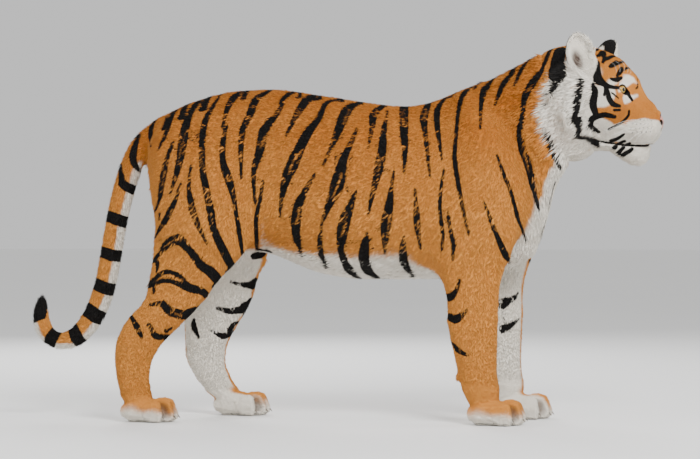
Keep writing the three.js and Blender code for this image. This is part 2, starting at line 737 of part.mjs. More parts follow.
// ---- fitting the head's parts together ------------------------------------------------------------------
let head = headSolid(skullForm.clone());
const pad = largest(grown(head, 3).intersect(padPrism()));
const nose = largest(pad.subtract(join(both(nostril))));
const eyes = { "-1": headSolid(eyeBall(-1)), 1: headSolid(eyeBall(1)) };
const ears = { "-1": ear(-1), 1: ear(1) };
const earRoom = join(grown(ears[-1].shell, 1), grown(ears[1].shell, 1));
const locks = join(ruff(skullForm, seeded(11))).subtract(earRoom);
head = join(head, both(upperLip), both(lids), locks);
head = head.subtract(join(both(eyeOpening), both((side) => eyeBall(side, EYE_RADIUS + GAP))));
head = head.subtract(join(grown(jaw, GAP), grown(pad, GAP), ears[-1].bowl, ears[1].bowl));
head = largest(head.subtract(grown(parts.neck, GAP + 0.1)));

Object.assign(parts, {
  head,
  lower_jaw: largest(jaw.subtract(grown(parts.neck, GAP + 0.1))),
  nose,
  right_eye: eyes["-1"],
  left_eye: eyes[1],
});
for (const side of [-1, 1]) {
  const name = side < 0 ? "right_ear" : "left_ear";
  const cup = ears[side].shell.subtract(ears[side].bowl);
  parts[name] = largest(cup.subtract(grown(head, GAP)).subtract(grown(parts.neck, GAP)));
}

// ---- materials and the scene graph ----------------------------------------------------------------------
const finish = (color, roughness) => new THREE.MeshStandardMaterial({ color, roughness, metalness: 0 });
const coat = finish(0xc9762f, 0.85);
const paleCoat = finish(0xe9dcc6, 0.85);
const blackCoat = finish(0x1a1613, 0.8);
const skinPink = finish(0xb0736a, 0.5);
const iris = finish(0xb98a2e, 0.1);
const materials = {
  nose: skinPink,
  right_eye: iris,
  left_eye: iris,
  lower_jaw: paleCoat,
  tail_tip: blackCoat,
};

const tiger = new THREE.Group();
for (const [name, solid] of Object.entries(parts)) {
  const mesh = new THREE.Mesh(geometryOf(solid), materials[name] ?? coat);
  mesh.name = name;
  tiger.add(mesh);
}
const bounds = new THREE.Box3().setFromObject(tiger);
const centre = bounds.getCenter(new THREE.Vector3());
tiger.position.set(-centre.x, -centre.y, -bounds.min.z);

export default tiger;
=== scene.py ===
"""A life-size Bengal tiger standing with its head raised: skin, striped coat, eyes, nose, claws and whiskers.

One skin covers the whole body. Stripes are strokes laid on it, and the skin and every tuft of the coat ask
the same strokes how far away the nearest edge is, so both carry the same markings.
"""

import math

import bmesh
import bpy
import numpy as np
from mathutils import Matrix, Vector
from mathutils.bvhtree import BVHTree
from mathutils.kdtree import KDTree


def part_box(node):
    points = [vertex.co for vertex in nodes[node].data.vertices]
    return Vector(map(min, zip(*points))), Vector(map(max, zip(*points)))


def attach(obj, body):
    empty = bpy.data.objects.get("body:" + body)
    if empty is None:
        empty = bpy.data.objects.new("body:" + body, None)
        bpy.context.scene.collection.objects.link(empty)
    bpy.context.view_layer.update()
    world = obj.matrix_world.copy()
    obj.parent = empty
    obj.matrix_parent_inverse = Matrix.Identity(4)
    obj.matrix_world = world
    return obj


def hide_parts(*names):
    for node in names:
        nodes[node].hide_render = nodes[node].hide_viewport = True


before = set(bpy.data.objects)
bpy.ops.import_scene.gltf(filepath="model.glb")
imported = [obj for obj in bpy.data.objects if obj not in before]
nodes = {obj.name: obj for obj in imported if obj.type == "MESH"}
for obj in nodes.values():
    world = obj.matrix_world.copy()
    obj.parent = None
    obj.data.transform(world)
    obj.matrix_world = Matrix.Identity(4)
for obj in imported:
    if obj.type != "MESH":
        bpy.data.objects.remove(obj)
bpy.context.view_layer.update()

MM = 0.001

# ---- camera ---------------------------------------------------------------------------------------------
FRAME_WIDTH, FRAME_HEIGHT = 700, 459
FOCAL_PIXELS = 2366.7
SENSOR_MM = 36.0
CAMERA_YAW = math.radians(7)
CAMERA_DISTANCE = 7.1
CAMERA_TARGET = Vector((0.0153, 0.0, 0.5715))
CAMERA_CLIP = 100
FORWARD = Vector((-math.sin(CAMERA_YAW), math.cos(CAMERA_YAW), 0))
ACROSS = Vector((math.cos(CAMERA_YAW), math.sin(CAMERA_YAW), 0))
UP = Vector((0, 0, 1))
CAMERA_PLACE = CAMERA_TARGET - FORWARD * CAMERA_DISTANCE
PIXEL = CAMERA_DISTANCE / FOCAL_PIXELS  # the width of a pixel at the animal, in metres


def make_camera():
    lens = bpy.data.cameras.new("camera")
    lens.sensor_width = SENSOR_MM
    lens.sensor_fit = "HORIZONTAL"
    lens.lens = FOCAL_PIXELS / FRAME_WIDTH * SENSOR_MM
    lens.clip_end = CAMERA_CLIP
    camera = bpy.data.objects.new("camera", lens)
    bpy.context.scene.collection.objects.link(camera)
    camera.rotation_mode = "QUATERNION"
    camera.rotation_quaternion = FORWARD.to_track_quat("-Z", "Y")
    camera.location = CAMERA_PLACE
    bpy.context.scene.camera = camera


make_camera()


def sight(px, py):
    """The direction from the camera through a pixel of the 700 by 459 render."""
    right = px - FRAME_WIDTH / 2
    down = py - FRAME_HEIGHT / 2
    return (FORWARD * FOCAL_PIXELS + ACROSS * right - UP * down).normalized()


def on_plane(px, py, plane):
    """Where a pixel falls on an upright plane along the body."""
    direction = sight(px, py)
    return CAMERA_PLACE + direction * ((plane - CAMERA_PLACE.y) / direction.y)


# ---- small helpers --------------------------------------------------------------------------------------
def centre_of(name):
    low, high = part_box(name)
    return (low + high) / 2


def step(low, high, value):
    """0 below low, 1 above high, and smooth between. low may be above high."""
    share = np.clip((value - low) / (high - low), 0, 1)
    return share * share * (3 - 2 * share)


def unit(vectors):
    return vectors / np.maximum(np.linalg.norm(vectors, axis=1, keepdims=True), 1e-9)


def spline(points, spacing):
    """Points along a smooth line through the given ones, about this far apart in their first two numbers."""
    p = np.array(points, float)
    ends = np.vstack([2 * p[0] - p[1], p, 2 * p[-1] - p[-2]])
    found = []
    for i in range(len(p) - 1):
        a, b, c, d = ends[i : i + 4]
        count = max(1, round(np.linalg.norm((c - b)[:2]) / spacing))
        t = (np.arange(count) / count)[:, None]
        found.append(
            0.5 * (2 * b + (c - a) * t + (2 * a - 5 * b + 4 * c - d) * t**2 + (3 * b - a - 3 * c + d) * t**3)
        )
    found.append(p[-1:])
    return np.vstack(found)


def linked(name, data):
    made = bpy.data.objects.new(name, data)
    bpy.context.scene.collection.objects.link(made)
    return made


def settled(made):
    """Applies an object's modifiers."""
    graph = bpy.context.evaluated_depsgraph_get()
    mesh = bpy.data.meshes.new_from_object(made.evaluated_get(graph))
    made.modifiers.clear()
    old = made.data
    made.data = mesh
    bpy.data.meshes.remove(old)
    return made


# ---- the head's own frame -------------------------------------------------------------------------------
# Places on the head are given in millimetres on the head turned straight ahead: x forward, y to its left
# and z up. The middle between the eyes ties them to the frame.
HEAD_TURN = math.radians(-5)
HEAD_PIVOT = Vector((610, 0, 960)) * MM
EYE_LEVEL = Vector((817, 0, 980)) * MM
EYE_RADIUS = 19 * MM


def head_matrix():
    turn = Matrix.Translation(HEAD_PIVOT) @ Matrix.Rotation(HEAD_TURN, 4, "Z")
    turn = turn @ Matrix.Translation(-HEAD_PIVOT)
    between = (centre_of("left_eye") + centre_of("right_eye")) / 2
    return Matrix.Translation(between - turn @ EYE_LEVEL) @ turn


HEAD = head_matrix()
HEAD_INVERSE = HEAD.inverted()


def on_head(x, y, z):
    return HEAD @ (Vector((x, y, z)) * MM)


def head_places(places):
    """Frame places, in metres, as millimetres on the straight-ahead head."""
    m = np.array(HEAD_INVERSE)
    return (places @ m[:3, :3].T + m[:3, 3]) / MM


def folded_over(places):
    """Places on the head with those of its right half carried to the left."""
    return places * (1, 0, 1) + np.abs(places * (0, 1, 0))


EAR_POSES = {
    "right": {"at": (709, -98, 1081), "turn": -60, "lean": 14, "tilt": 2},
    "left": {"at": (760, 90, 1085), "turn": 42, "lean": -12, "tilt": 31},
}


def ear_matrix(side):
    """From an ear's own millimetres, x out of its open side and z to its tip, to the frame."""
    pose = EAR_POSES[side]
    turn = Matrix.Identity(4)
    for angle, axis in ((pose["turn"], "Z"), (pose["tilt"], "Y"), (pose["lean"], "X")):
        turn = turn @ Matrix.Rotation(math.radians(angle), 4, axis)
    return HEAD @ Matrix.Scale(MM, 4) @ Matrix.Translation(Vector(pose["at"])) @ turn


def ear_places(side, places):
    m = np.array(ear_matrix(side).inverted())
    return places @ m[:3, :3].T + m[:3, 3]


# ---- skin -----------------------------------------------------------------------------------------------
NOT_FLESH = ("right_eye", "left_eye")
FLESH = sorted(name for name in nodes if name not in NOT_FLESH)
VOXEL = 3.6 * MM
COARSENING = 0.235  # share of the faces that are kept
EYE_REFINED = 42 * MM
SIDES = {"right": -1, "left": 1}
EARS = ("right_ear", "left_ear")
FACE_PARTS = ("head", "lower_jaw", "nose")  # the skin also runs under the nose's bare pad
TORSO = ("neck", "chest", "loin", "rump")
TAIL = ("tail_root", "tail_middle", "tail_lower", "tail_curl", "tail_tip")
LEG_PARTS = {
    "fore": ("shoulder", "forearm", "fore_paw"),
    "hind": ("thigh", "lower_leg", "hind_foot", "hind_paw"),
}
FORE_FROM_X = 0.1  # the fore legs are ahead of this and the hind legs behind it, in metres
LEG_TOP = (0.72, 0.52)  # the trunk gives way to the legs between these heights, in metres


def on_both_sides(*parts):
    return tuple(f"{side}_{part}" for side in SIDES for part in parts)


PAWS = on_both_sides("fore_paw", "hind_paw")
SHINS = on_both_sides("forearm", "lower_leg", "hind_foot")
HAMS = on_both_sides("shoulder", "thigh")


def merged_flesh():
    """Every flesh node in one mesh, and the node that each of its faces comes from."""
    shape = bmesh.new()
    owners = []
    for name in FLESH:
        shape.from_mesh(nodes[name].data)
        owners += [name] * (len(shape.faces) - len(owners))
    mesh = bpy.data.meshes.new("skin")
    shape.to_mesh(mesh)
    tree = BVHTree.FromBMesh(shape)
    shape.free()
    return mesh, tree, owners


def remeshed(made, voxel):
    remesh = made.modifiers.new("remesh", "REMESH")
    remesh.mode = "VOXEL"
    remesh.voxel_size = voxel
    return settled(made)


def keep_largest(made):
    """Deletes all but the largest connected surface."""
    mesh = made.data
    pairs = np.zeros(len(mesh.edges) * 2, np.int64)
    mesh.edges.foreach_get("vertices", pairs)
    pairs = pairs.reshape(-1, 2)
    label = np.arange(len(mesh.vertices))
    while True:
        lowest = np.minimum(label[pairs[:, 0]], label[pairs[:, 1]])
        before = label.copy()
        np.minimum.at(label, pairs[:, 0], lowest)
        np.minimum.at(label, pairs[:, 1], lowest)
        label = label[label]
        if np.array_equal(before, label):
            break
    names, counts = np.unique(label, return_counts=True)
    loose = label != names[np.argmax(counts)]
    if loose.any():
        shape = bmesh.new()
        shape.from_mesh(mesh)
        shape.verts.ensure_lookup_table()
        bmesh.ops.delete(shape, geom=[shape.verts[i] for i in np.flatnonzero(loose)], context="VERTS")
        shape.to_mesh(mesh)
        shape.free()


# The body's faces are thinned out behind and under the head, in its own mm, and above the paws, in metres.
THIN_BEHIND = (690, 560)
THIN_UNDER = (735, 700)
THIN_ABOVE = (0.1, 0.14)
PAW_THINNING = 0.12
THINNING_LEVELS = 10


def coarsened(made):
    """Fewer faces on the body, where the forms are large, and more of them on the head and paws."""
    group = made.vertex_groups.new(name="coarse")
    places = np.array([v.co for v in made.data.vertices])
    head = head_places(places)
    weight = step(*THIN_BEHIND, head[:, 0])
    weight = np.maximum(weight, step(*THIN_UNDER, head[:, 2]))
    weight *= PAW_THINNING + (1 - PAW_THINNING) * step(*THIN_ABOVE, places[:, 2])
    for level in range(THINNING_LEVELS + 1):
        chosen = np.flatnonzero(np.round(weight * THINNING_LEVELS) == level)
        group.add(chosen.tolist(), level / THINNING_LEVELS, "REPLACE")
    fewer = made.modifiers.new("coarsen", "DECIMATE")
    fewer.ratio = COARSENING
    fewer.vertex_group = "coarse"
    settled(made)
    made.vertex_groups.clear()


def finer_near(made, middles, reach):
    """Halves the faces near some places."""
    shape = bmesh.new()
    shape.from_mesh(made.data)
    near = [
        edge
        for edge in shape.edges
        if min((edge.verts[0].co - middle).length_squared for middle in middles) < reach * reach
    ]
    bmesh.ops.subdivide_edges(shape, edges=near, cuts=1, use_grid_fill=True)
    shape.to_mesh(made.data)
    shape.free()


PULL = 0.6  # how far one smoothing pass moves a vertex towards its neighbours' mean
PUSH = 0.62  # and how far the pass after it moves it back


class Surface:
    """The skin as arrays: places, triangles, neighbours and normals."""

    def __init__(self, made):
        self.made = made
        mesh = made.data
        shape = bmesh.new()
        shape.from_mesh(mesh)
        bmesh.ops.triangulate(shape, faces=shape.faces[:])
        shape.to_mesh(mesh)
        shape.free()
        count = len(mesh.vertices)
        self.co = np.zeros(count * 3)
        mesh.vertices.foreach_get("co", self.co)
        self.co = self.co.reshape(-1, 3)
        self.tris = np.zeros(len(mesh.polygons) * 3, np.int64)
        mesh.loops.foreach_get("vertex_index", self.tris)
        self.tris = self.tris.reshape(-1, 3)
        self.pairs = np.zeros(len(mesh.edges) * 2, np.int64)
        mesh.edges.foreach_get("vertices", self.pairs)
        self.pairs = self.pairs.reshape(-1, 2)
        self.degree = np.bincount(self.pairs.ravel(), minlength=count)
        self.measure()

    def measure(self):
        """Works out the normals again."""
        a, b, c = (self.co[self.tris[:, i]] for i in range(3))
        self.face_normals = np.cross(b - a, c - a)
        self.areas = np.linalg.norm(self.face_normals, axis=1) / 2
        total = np.zeros_like(self.co)
        for corner in range(3):
            for axis in range(3):
                total[:, axis] += np.bincount(
                    self.tris[:, corner], self.face_normals[:, axis], len(self.co)
                )
        self.normals = unit(total)

    def mean_of(self, values):
        """Each vertex's mean over its neighbours."""
        flat = values.reshape(len(self.co), -1)
        total = np.empty_like(flat)
        one, other = self.pairs.T
        for axis in range(flat.shape[1]):
            total[:, axis] = np.bincount(one, flat[other, axis], len(flat))
            total[:, axis] += np.bincount(other, flat[one, axis], len(flat))
        return (total / self.degree[:, None]).reshape(values.shape)

    def diffused(self, values, rounds):
        for _ in range(rounds):
            values = 0.5 * (values + self.mean_of(values))
        return values

    def relax(self, strength, rounds, shrink=False):
        """Smooths where strength is high. Unless it may shrink, one pass outward follows each one inward."""
        pull = PULL * strength[:, None]
        push = PUSH * strength[:, None]
        for _ in range(rounds):
            self.co += pull * (self.mean_of(self.co) - self.co)
            if not shrink:
                self.co -= push * (self.mean_of(self.co) - self.co)
        self.measure()

    def write(self):
        self.made.data.vertices.foreach_set("co", self.co.astype(np.float32).ravel())
        self.made.data.update()


def region_of(surface, tree, owners):
    """For each vertex, the node that it lies on, as an index into FLESH."""
    order = {name: i for i, name in enumerate(FLESH)}
    index = np.array([order[name] for name in owners])
    return index[[tree.find_nearest(Vector(p))[2] for p in surface.co]]


mesh, cad_tree, face_owners = merged_flesh()
skin = linked("skin", mesh)
remeshed(skin, VOXEL)
keep_largest(skin)
coarsened(skin)
finer_near(skin, [centre_of(f"{side}_eye") for side in SIDES], EYE_REFINED)
surface = Surface(skin)
region = region_of(surface, cad_tree, face_owners)


def share_of(names, rounds=0):
    """1 on the given nodes and 0 elsewhere, with a soft edge after some rounds of diffusion."""
    inside = np.isin(region, [FLESH.index(name) for name in names]).astype(float)
    return surface.diffused(inside, rounds)


on_ears = share_of(EARS, 2)
on_face = share_of(FACE_PARTS, 4)
on_paws = share_of(PAWS, 4)
on_shins = share_of(SHINS, 12)
on_tail = share_of(TAIL, 6)
head_xyz = head_places(surface.co)

# The long cheek fur is tufts, so the skin under it is the cheek itself.
RUFF_ROWS = (
    ((688, 1006), (654, 950), (652, 886), (676, 838), (722, 816)),
    ((726, 986), (696, 934), (694, 880), (720, 848), (750, 842)),
)
RUFF_WIDTH = 62.0
RUFF_STEP = 12
RUFF_BACK = 16  # how far ahead of the rows the ruff's middle is
RUFF_SIDE = (45, 70)  # the ruff begins this far from the middle of the head
RUFF_END = (800, 740)
BODY_ROUNDS = 30
FACE_ROUNDS = 8
JOIN_ROUNDS = 70
RUFF_ROUNDS = 170


def ruff_share(places, width=RUFF_WIDTH):
    """1 on the cheek's long fur, falling to 0 at its edges. Places are in the head's own millimetres."""
    nearest = np.full(len(places), 1e9)
    for row in RUFF_ROWS:
        for x, z in spline(row, RUFF_STEP):
            nearest = np.minimum(nearest, np.hypot(places[:, 0] - x + RUFF_BACK, places[:, 2] - z))
    return step(width, 0.45 * width, nearest) * step(*RUFF_SIDE, np.abs(places[:, 1]))


on_ruff = surface.diffused(ruff_share(head_xyz) * np.maximum(on_face, share_of(("neck",), 8)), 3)
surface.relax(np.clip(1 - on_face - on_ears - 0.5 * on_paws, 0, 1), BODY_ROUNDS)
surface.relax(np.clip(on_face - on_ears, 0, 1) * 0.8, FACE_ROUNDS)
on_joins = surface.diffused(share_of(HAMS, 14) * (1 - share_of(HAMS, 14)) * 4, 6)
surface.relax(np.clip(on_joins, 0, 1) * (1 - on_face), JOIN_ROUNDS, shrink=True)
near_ruff = ruff_share(head_xyz, 2 * RUFF_WIDTH) * (1 - on_ears) * step(*RUFF_END, head_xyz[:, 0])
surface.relax(surface.diffused(np.maximum(near_ruff, on_ruff), 4), RUFF_ROUNDS, shrink=True)
surface.relax(on_ears * 0.6, 4)

# The skin lies inside the solids by the coat's depth, which is less on the face, ears, paws and shins.
COAT_DEPTH = 7.0 * MM
RUFF_DEPTH = 9 * MM
DEPTH_ROUNDS = 6
depth = COAT_DEPTH * (1 - 0.62 * on_face) * (1 - 0.82 * on_ears) * (1 - 0.6 * on_paws) * (1 - 0.3 * on_shins)
depth += on_ruff * RUFF_DEPTH
surface.co -= surface.diffused(depth, DEPTH_ROUNDS)[:, None] * surface.normals
surface.relax(np.clip(1 - on_face - on_ears, 0, 1), 4)

# ---- sculpted forms -------------------------------------------------------------------------------------
# Soft swellings and hollows on the straight-ahead head, for both sides: middle, reach and height, in mm.
SWELLINGS = (
    ((900, 36, 862), (40, 26, 30), 10),  # whisker pads
    ((880, 58, 856), (34, 24, 26), 5),
    ((842, 66, 900), (30, 24, 30), -8),  # hollow between the pad and the cheek
    ((790, 94, 925), (44, 34, 34), 8),  # cheek bone
    ((816, 54, 1019), (30, 28, 14), 7),  # brow
    ((852, 34, 984), (16, 14, 18), -7),  # inner corner of the eye
    ((884, 38, 922), (40, 12, 20), -6),  # side of the nose
    ((905, 0, 938), (34, 16, 14), 3),  # end of the nose's bridge
    ((760, 76, 1035), (40, 24, 30), -3),  # temple
    ((886, 0, 778), (26, 30, 16), 6),  # chin
    ((936, 0, 842), (26, 6, 20), -8),  # groove under the nose
    ((800, 0, 1075), (60, 8, 40), -2),  # groove of the forehead
)
MOUTH = ((748, 836), (775, 828), (800, 824), (830, 820), (862, 818), (890, 818), (912, 819))
MOUTH_DEPTH = 6.5
LIP_REACH = 3.6
BLINK = 1.6 * MM  # the lids' thickness where the eye opens
LID_FOLD = 7.5  # from the upper lid's edge to its fold, in mm
EYE_OPENING_TURN = math.radians(43)  # from straight ahead to the middle of the opening
GAZE_TURN = math.radians(37)
EYE_CORNERS = ((-18, -8.5), (14.5, 4))
EYE_ARCS = ((-3, 20), (1, -17))  # control points of the upper and lower edges
MOUTH_WIDTH = 4.5
MOUTH_PEAK = 9.0  # how far the line rises under the nose, in mm
# The nose's bare pad from the front: levels, and half its width at each, in mm.
PAD_LEVELS = (826, 858, 867, 875, 885, 897, 907, 915)
PAD_HALVES = (1.3, 2.0, 6, 16, 28, 31, 25, 6)
PAD_BACK = 893
FAR_FROM_PAD = 60


def mouth_gap(places):
    """How far places on the head are above the line of the mouth, in mm, and how surely they are on it."""
    x, z = np.array(MOUTH).T
    peak = MOUTH_PEAK * np.exp(-((places[:, 1] / 15) ** 2)) * step(870, 915, places[:, 0])
    above = places[:, 2] - np.interp(places[:, 0], x, z) - peak
    return above, step(x[0], x[1], places[:, 0])


def beyond_pad(places):
    """How far places on the head lie outside the nose's bare pad, in mm. Inside is negative."""
    half = np.interp(places[:, 2], PAD_LEVELS, PAD_HALVES)
    over = np.maximum(places[:, 2] - PAD_LEVELS[-1], PAD_LEVELS[0] - places[:, 2])
    found = np.maximum(0.85 * (np.abs(places[:, 1]) - half), over)
    return np.where(places[:, 0] > PAD_BACK, found, FAR_FROM_PAD)


def eye_frame(side, turn):
    """The centre of an eye, and the directions outward across it, up, and out of it."""
    sign = SIDES[side]
    gaze = (HEAD.to_3x3() @ Vector((math.cos(turn), sign * math.sin(turn), 0))).normalized()
    across = (UP.cross(gaze) * sign).normalized()
    return centre_of(f"{side}_eye"), across, UP, gaze


def almond(count=14):
    """The edge of an eye's opening, seen straight into it, in mm: across from the nose outward, and up."""
    (a, b), edges = np.array(EYE_CORNERS, float), []
    for control, start, end in ((EYE_ARCS[0], a, b), (EYE_ARCS[1], b, a)):
        t = (np.arange(count) / count)[:, None]
        edges.append((1 - t) ** 2 * start + 2 * t * (1 - t) * np.array(control) + t * t * end)
    return np.vstack(edges)


ALMOND = almond()


def beyond_almond(places, side):
    """How far places lie outside an eye's opening, in mm. Inside is negative."""
    centre, across, up, gaze = eye_frame(side, EYE_OPENING_TURN)
    offset = (places - np.array(centre)) / MM
    flat = np.stack([offset @ np.array(across), offset @ np.array(up)], axis=1)
    ahead = offset @ np.array(gaze)
    starts, ends = ALMOND, np.roll(ALMOND, -1, axis=0)
    nearest = np.full(len(places), 1e9)
    inside = np.zeros(len(places), bool)
    for (ax, ay), (bx, by) in zip(starts, ends):
        edge = np.array((bx - ax, by - ay))
        from_start = flat - (ax, ay)
        along = np.clip(from_start @ edge / (edge @ edge), 0, 1)
        nearest = np.minimum(nearest, np.linalg.norm(from_start - along[:, None] * edge, axis=1))
        crosses = (ay > flat[:, 1]) != (by > flat[:, 1])
        inside ^= crosses & (from_start[:, 0] < edge[0] * from_start[:, 1] / (edge[1] or 1e-9))
    found = np.where(inside, -nearest, nearest)
    return np.where(ahead > 0, found, np.hypot(found, ahead))


SWELLING_FALL = 1.2
LID_REACH = 13 * MM
FOLD_WIDTH = 2.2
FOLD_DEPTH = 1.5 * MM
RIM_MIDDLE, RIM_WIDTH, RIM_HEIGHT = 2.2, 1.8, 0.9 * MM  # the lid's rounded edge beside the opening


def sculpt_head():
    """Raises and sinks the face's forms, opens the mouth's line and fits the lids to the eyes."""
    places = head_places(surface.co)
    folded = folded_over(places)
    height = np.zeros(len(places))
    for middle, reach, size in SWELLINGS:
        height += size * np.exp(-SWELLING_FALL * np.sum(((folded - middle) / reach) ** 2, axis=1))
    above, surely = mouth_gap(places)
    height -= MOUTH_DEPTH * surely * np.exp(-((above / MOUTH_WIDTH) ** 2))
    surface.co += surface.normals * (height * np.clip(on_face, 0, 1))[:, None] * MM
    surface.relax(on_face * 0.5, 3)
    for side in SIDES:
        fit_lids(side)
    surface.measure()


def fit_lids(side):
    """Sinks the skin behind an eye's opening, and lays it over the eyeball round the opening as lids."""
    centre = np.array(centre_of(f"{side}_eye"))
    offset = surface.co - centre
    gap = np.linalg.norm(offset, axis=1)
    beyond = beyond_almond(surface.co, side)
    near = gap < EYE_RADIUS + LID_REACH
    on_top = step(-0.2, 0.5, (offset @ np.array(UP)) / EYE_RADIUS)
    fold = np.exp(-(((beyond - LID_FOLD) / FOLD_WIDTH) ** 2)) * on_top
    lifted = np.maximum(gap, EYE_RADIUS + BLINK * (1 + 0.25 * np.clip(beyond, 0, 6)))
    lifted += RIM_HEIGHT * np.exp(-(((beyond - RIM_MIDDLE) / RIM_WIDTH) ** 2)) - FOLD_DEPTH * fold
    wanted = np.where(beyond < 0, EYE_RADIUS * 0.8, lifted)
    wanted = np.where((offset @ np.array(eye_frame(side, EYE_OPENING_TURN)[3])) > 0, wanted, gap)
    surface.co[near] = (centre + offset * (wanted / np.maximum(gap, 1e-6))[:, None])[near]


TOE_EDGES = (-0.30, -0.20, -0.04, 0.04, 0.20, 0.30)  # across the paw from its right, as shares of its width
TOES_BACK = (20, 7, 7, 0, 0, 13)  # how far each toe stands back, in mm
TOE_LANES = (-0.37, -0.125, 0.125, 0.37)  # the middles of the toes, in the same shares
GROOVE_LANES = (-0.245, 0.0, 0.245)
TOE_GROOVE = 11 * MM
GROOVE_WIDTH = 4.6 * MM
GROOVE_FROM, GROOVE_FULL = 84 * MM, 44 * MM  # back from the tips of the toes
GROOVE_TOP = (4 * MM, 12 * MM)
KNUCKLE_BACK, KNUCKLE_UP = 30 * MM, 50 * MM
KNUCKLE_SIZE = (20, 13, 16)
KNUCKLE_RISE = 5 * MM
# Painted shade in the grooves between the toes, which darkens the skin and coat there towards SHADED.
toe_shade = np.zeros(len(surface.co))


def sculpt_paws():
    """Parts the toes with grooves over the front of each paw."""
    for name in PAWS:
        low, high = (np.array(corner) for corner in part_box(name))
        own = share_of((name,), 1)
        width = high[1] - low[1]
        middle = (low[1] + high[1]) / 2
        back = np.interp((surface.co[:, 1] - middle) / width, TOE_EDGES, TOES_BACK) * MM
        surface.co[:, 0] -= own * back * step(high[0] - 64 * MM, high[0] - 12 * MM, surface.co[:, 0])
        for lane in GROOVE_LANES:
            across = (surface.co[:, 1] - (middle + lane * width)) / GROOVE_WIDTH
            ahead = step(high[0] - GROOVE_FROM, high[0] - GROOVE_FULL, surface.co[:, 0])
            top = step(*GROOVE_TOP, surface.co[:, 2])
            groove = own * ahead * top * np.exp(-(across**2))
            toe_shade[:] = np.maximum(toe_shade, groove)
            surface.co -= surface.normals * (groove * TOE_GROOVE)[:, None]
        for lane in TOE_LANES:
            knuckle = surface.co - (high[0] - KNUCKLE_BACK, middle + lane * width, KNUCKLE_UP)
            near = np.exp(-np.sum((knuckle / (np.array(KNUCKLE_SIZE) * MM)) ** 2, axis=1))
            surface.co += surface.normals * (own * KNUCKLE_RISE * near)[:, None]
    surface.measure()


# A leg's axis runs through the middle of its slices, so a stripe can be carried from one leg to its fellow.
SLICE = 0.02


def leg_axis(side, end):
    chosen = surface.co[share_of([f"{side}_{part}" for part in LEG_PARTS[end]]) > 0.5]
    levels = np.arange(SLICE, chosen[:, 2].max() - SLICE, SLICE)
    middles = []
    for level in levels:
        slice_ = chosen[np.abs(chosen[:, 2] - level) < SLICE]
        middles.append((slice_.min(0) + slice_.max(0)) / 2)
    return levels, np.array(middles)


AXES = {(side, end): leg_axis(side, end) for side in SIDES for end in LEG_PARTS}

# Muscles and hollows of the side: lines of (x, y) in pixels, their reach in pixels and their height in mm.
BODY_FORMS = (
    (((464, 104), (492, 150), (522, 196)), 9, 7),  # shoulder blade
    (((444, 118), (446, 170), (450, 226)), 11, -9),  # behind the shoulder
    (((508, 112), (532, 160), (546, 205)), 8, -6),  # before the shoulder
    (((486, 200), (474, 232)), 18, 7),  # upper arm
    (((462, 266),), 10, 6),  # elbow
    (((500, 262), (492, 300)), 7, -5),
    (((472, 290), (474, 330)), 10, 5),  # forearm
    (((480, 378),), 10, 4),  # wrist
    (((272, 170), (266, 215), (252, 240)), 17, -11),  # flank hollow
    (((262, 246), (236, 278)), 8, 5),  # fold to the knee
    (((226, 112),), 14, 5),  # hip bone
    (((200, 130), (184, 165)), 10, -6),
    (((204, 180), (212, 232)), 20, 8),  # thigh
    (((176, 180), (168, 240), (158, 285)), 7, -7),
    (((232, 274),), 12, 5),  # knee
    (((150, 306), (142, 330)), 6, -8),  # before the heel's tendon
    (((138, 352), (140, 392)), 5, -4),
    (((330, 150), (322, 230)), 8, -2.5),  # between the ribs
    (((362, 140), (356, 232)), 8, -2.5),
    (((394, 140), (390, 232)), 8, -2.5),
    (((420, 140), (418, 236)), 8, -2.5),
)
FLANK_PLANE = -0.16
FORM_ROUNDS = 12
FORM_GAIN = 1.3  # makes up for what the rounds of diffusion take away


def as_right(places):
    """Places on the left side carried to the right, following the right legs where they stand elsewhere."""
    found = places.copy()
    left = places[:, 1] > 0
    for end, chosen in (("fore", places[:, 0] > FORE_FROM_X), ("hind", places[:, 0] <= FORE_FROM_X)):
        mine = left & chosen
        levels, middles = AXES["left", end]
        other_levels, others = AXES["right", end]
        z = places[mine, 2]
        shift = np.interp(z, levels, middles[:, 0]) - np.interp(z, other_levels, others[:, 0])
        found[mine, 0] -= step(*LEG_TOP, z) * shift
    found[left, 1] *= -1
    return found


def sculpt_body():
    """Gives the sides and legs their muscles and hollows."""
    places = as_right(surface.co)
    sideways = step(0.15, 0.6, np.abs(surface.normals[:, 1])) * (1 - on_face) * (1 - on_tail)
    height = np.zeros(len(places))
    for line, reach, size in BODY_FORMS:
        nearest = np.full(len(places), 1e9)
        for x, y in spline(line, 3) if len(line) > 1 else line:
            middle = on_plane(x, y, FLANK_PLANE)
            nearest = np.minimum(nearest, np.hypot(places[:, 0] - middle.x, places[:, 2] - middle.z))
        height += size * np.exp(-((nearest / (reach * PIXEL)) ** 2))
    height = surface.diffused(height * sideways, FORM_ROUNDS) * FORM_GAIN
    surface.co += surface.normals * height[:, None] * MM
    surface.measure()


LOWEST_SKIN = 1.0 * MM
sculpt_body()
sculpt_head()
sculpt_paws()
surface.co[:, 2] = np.maximum(surface.co[:, 2], LOWEST_SKIN)
surface.write()
head_xyz = head_places(surface.co)
print("skin", len(surface.tris))

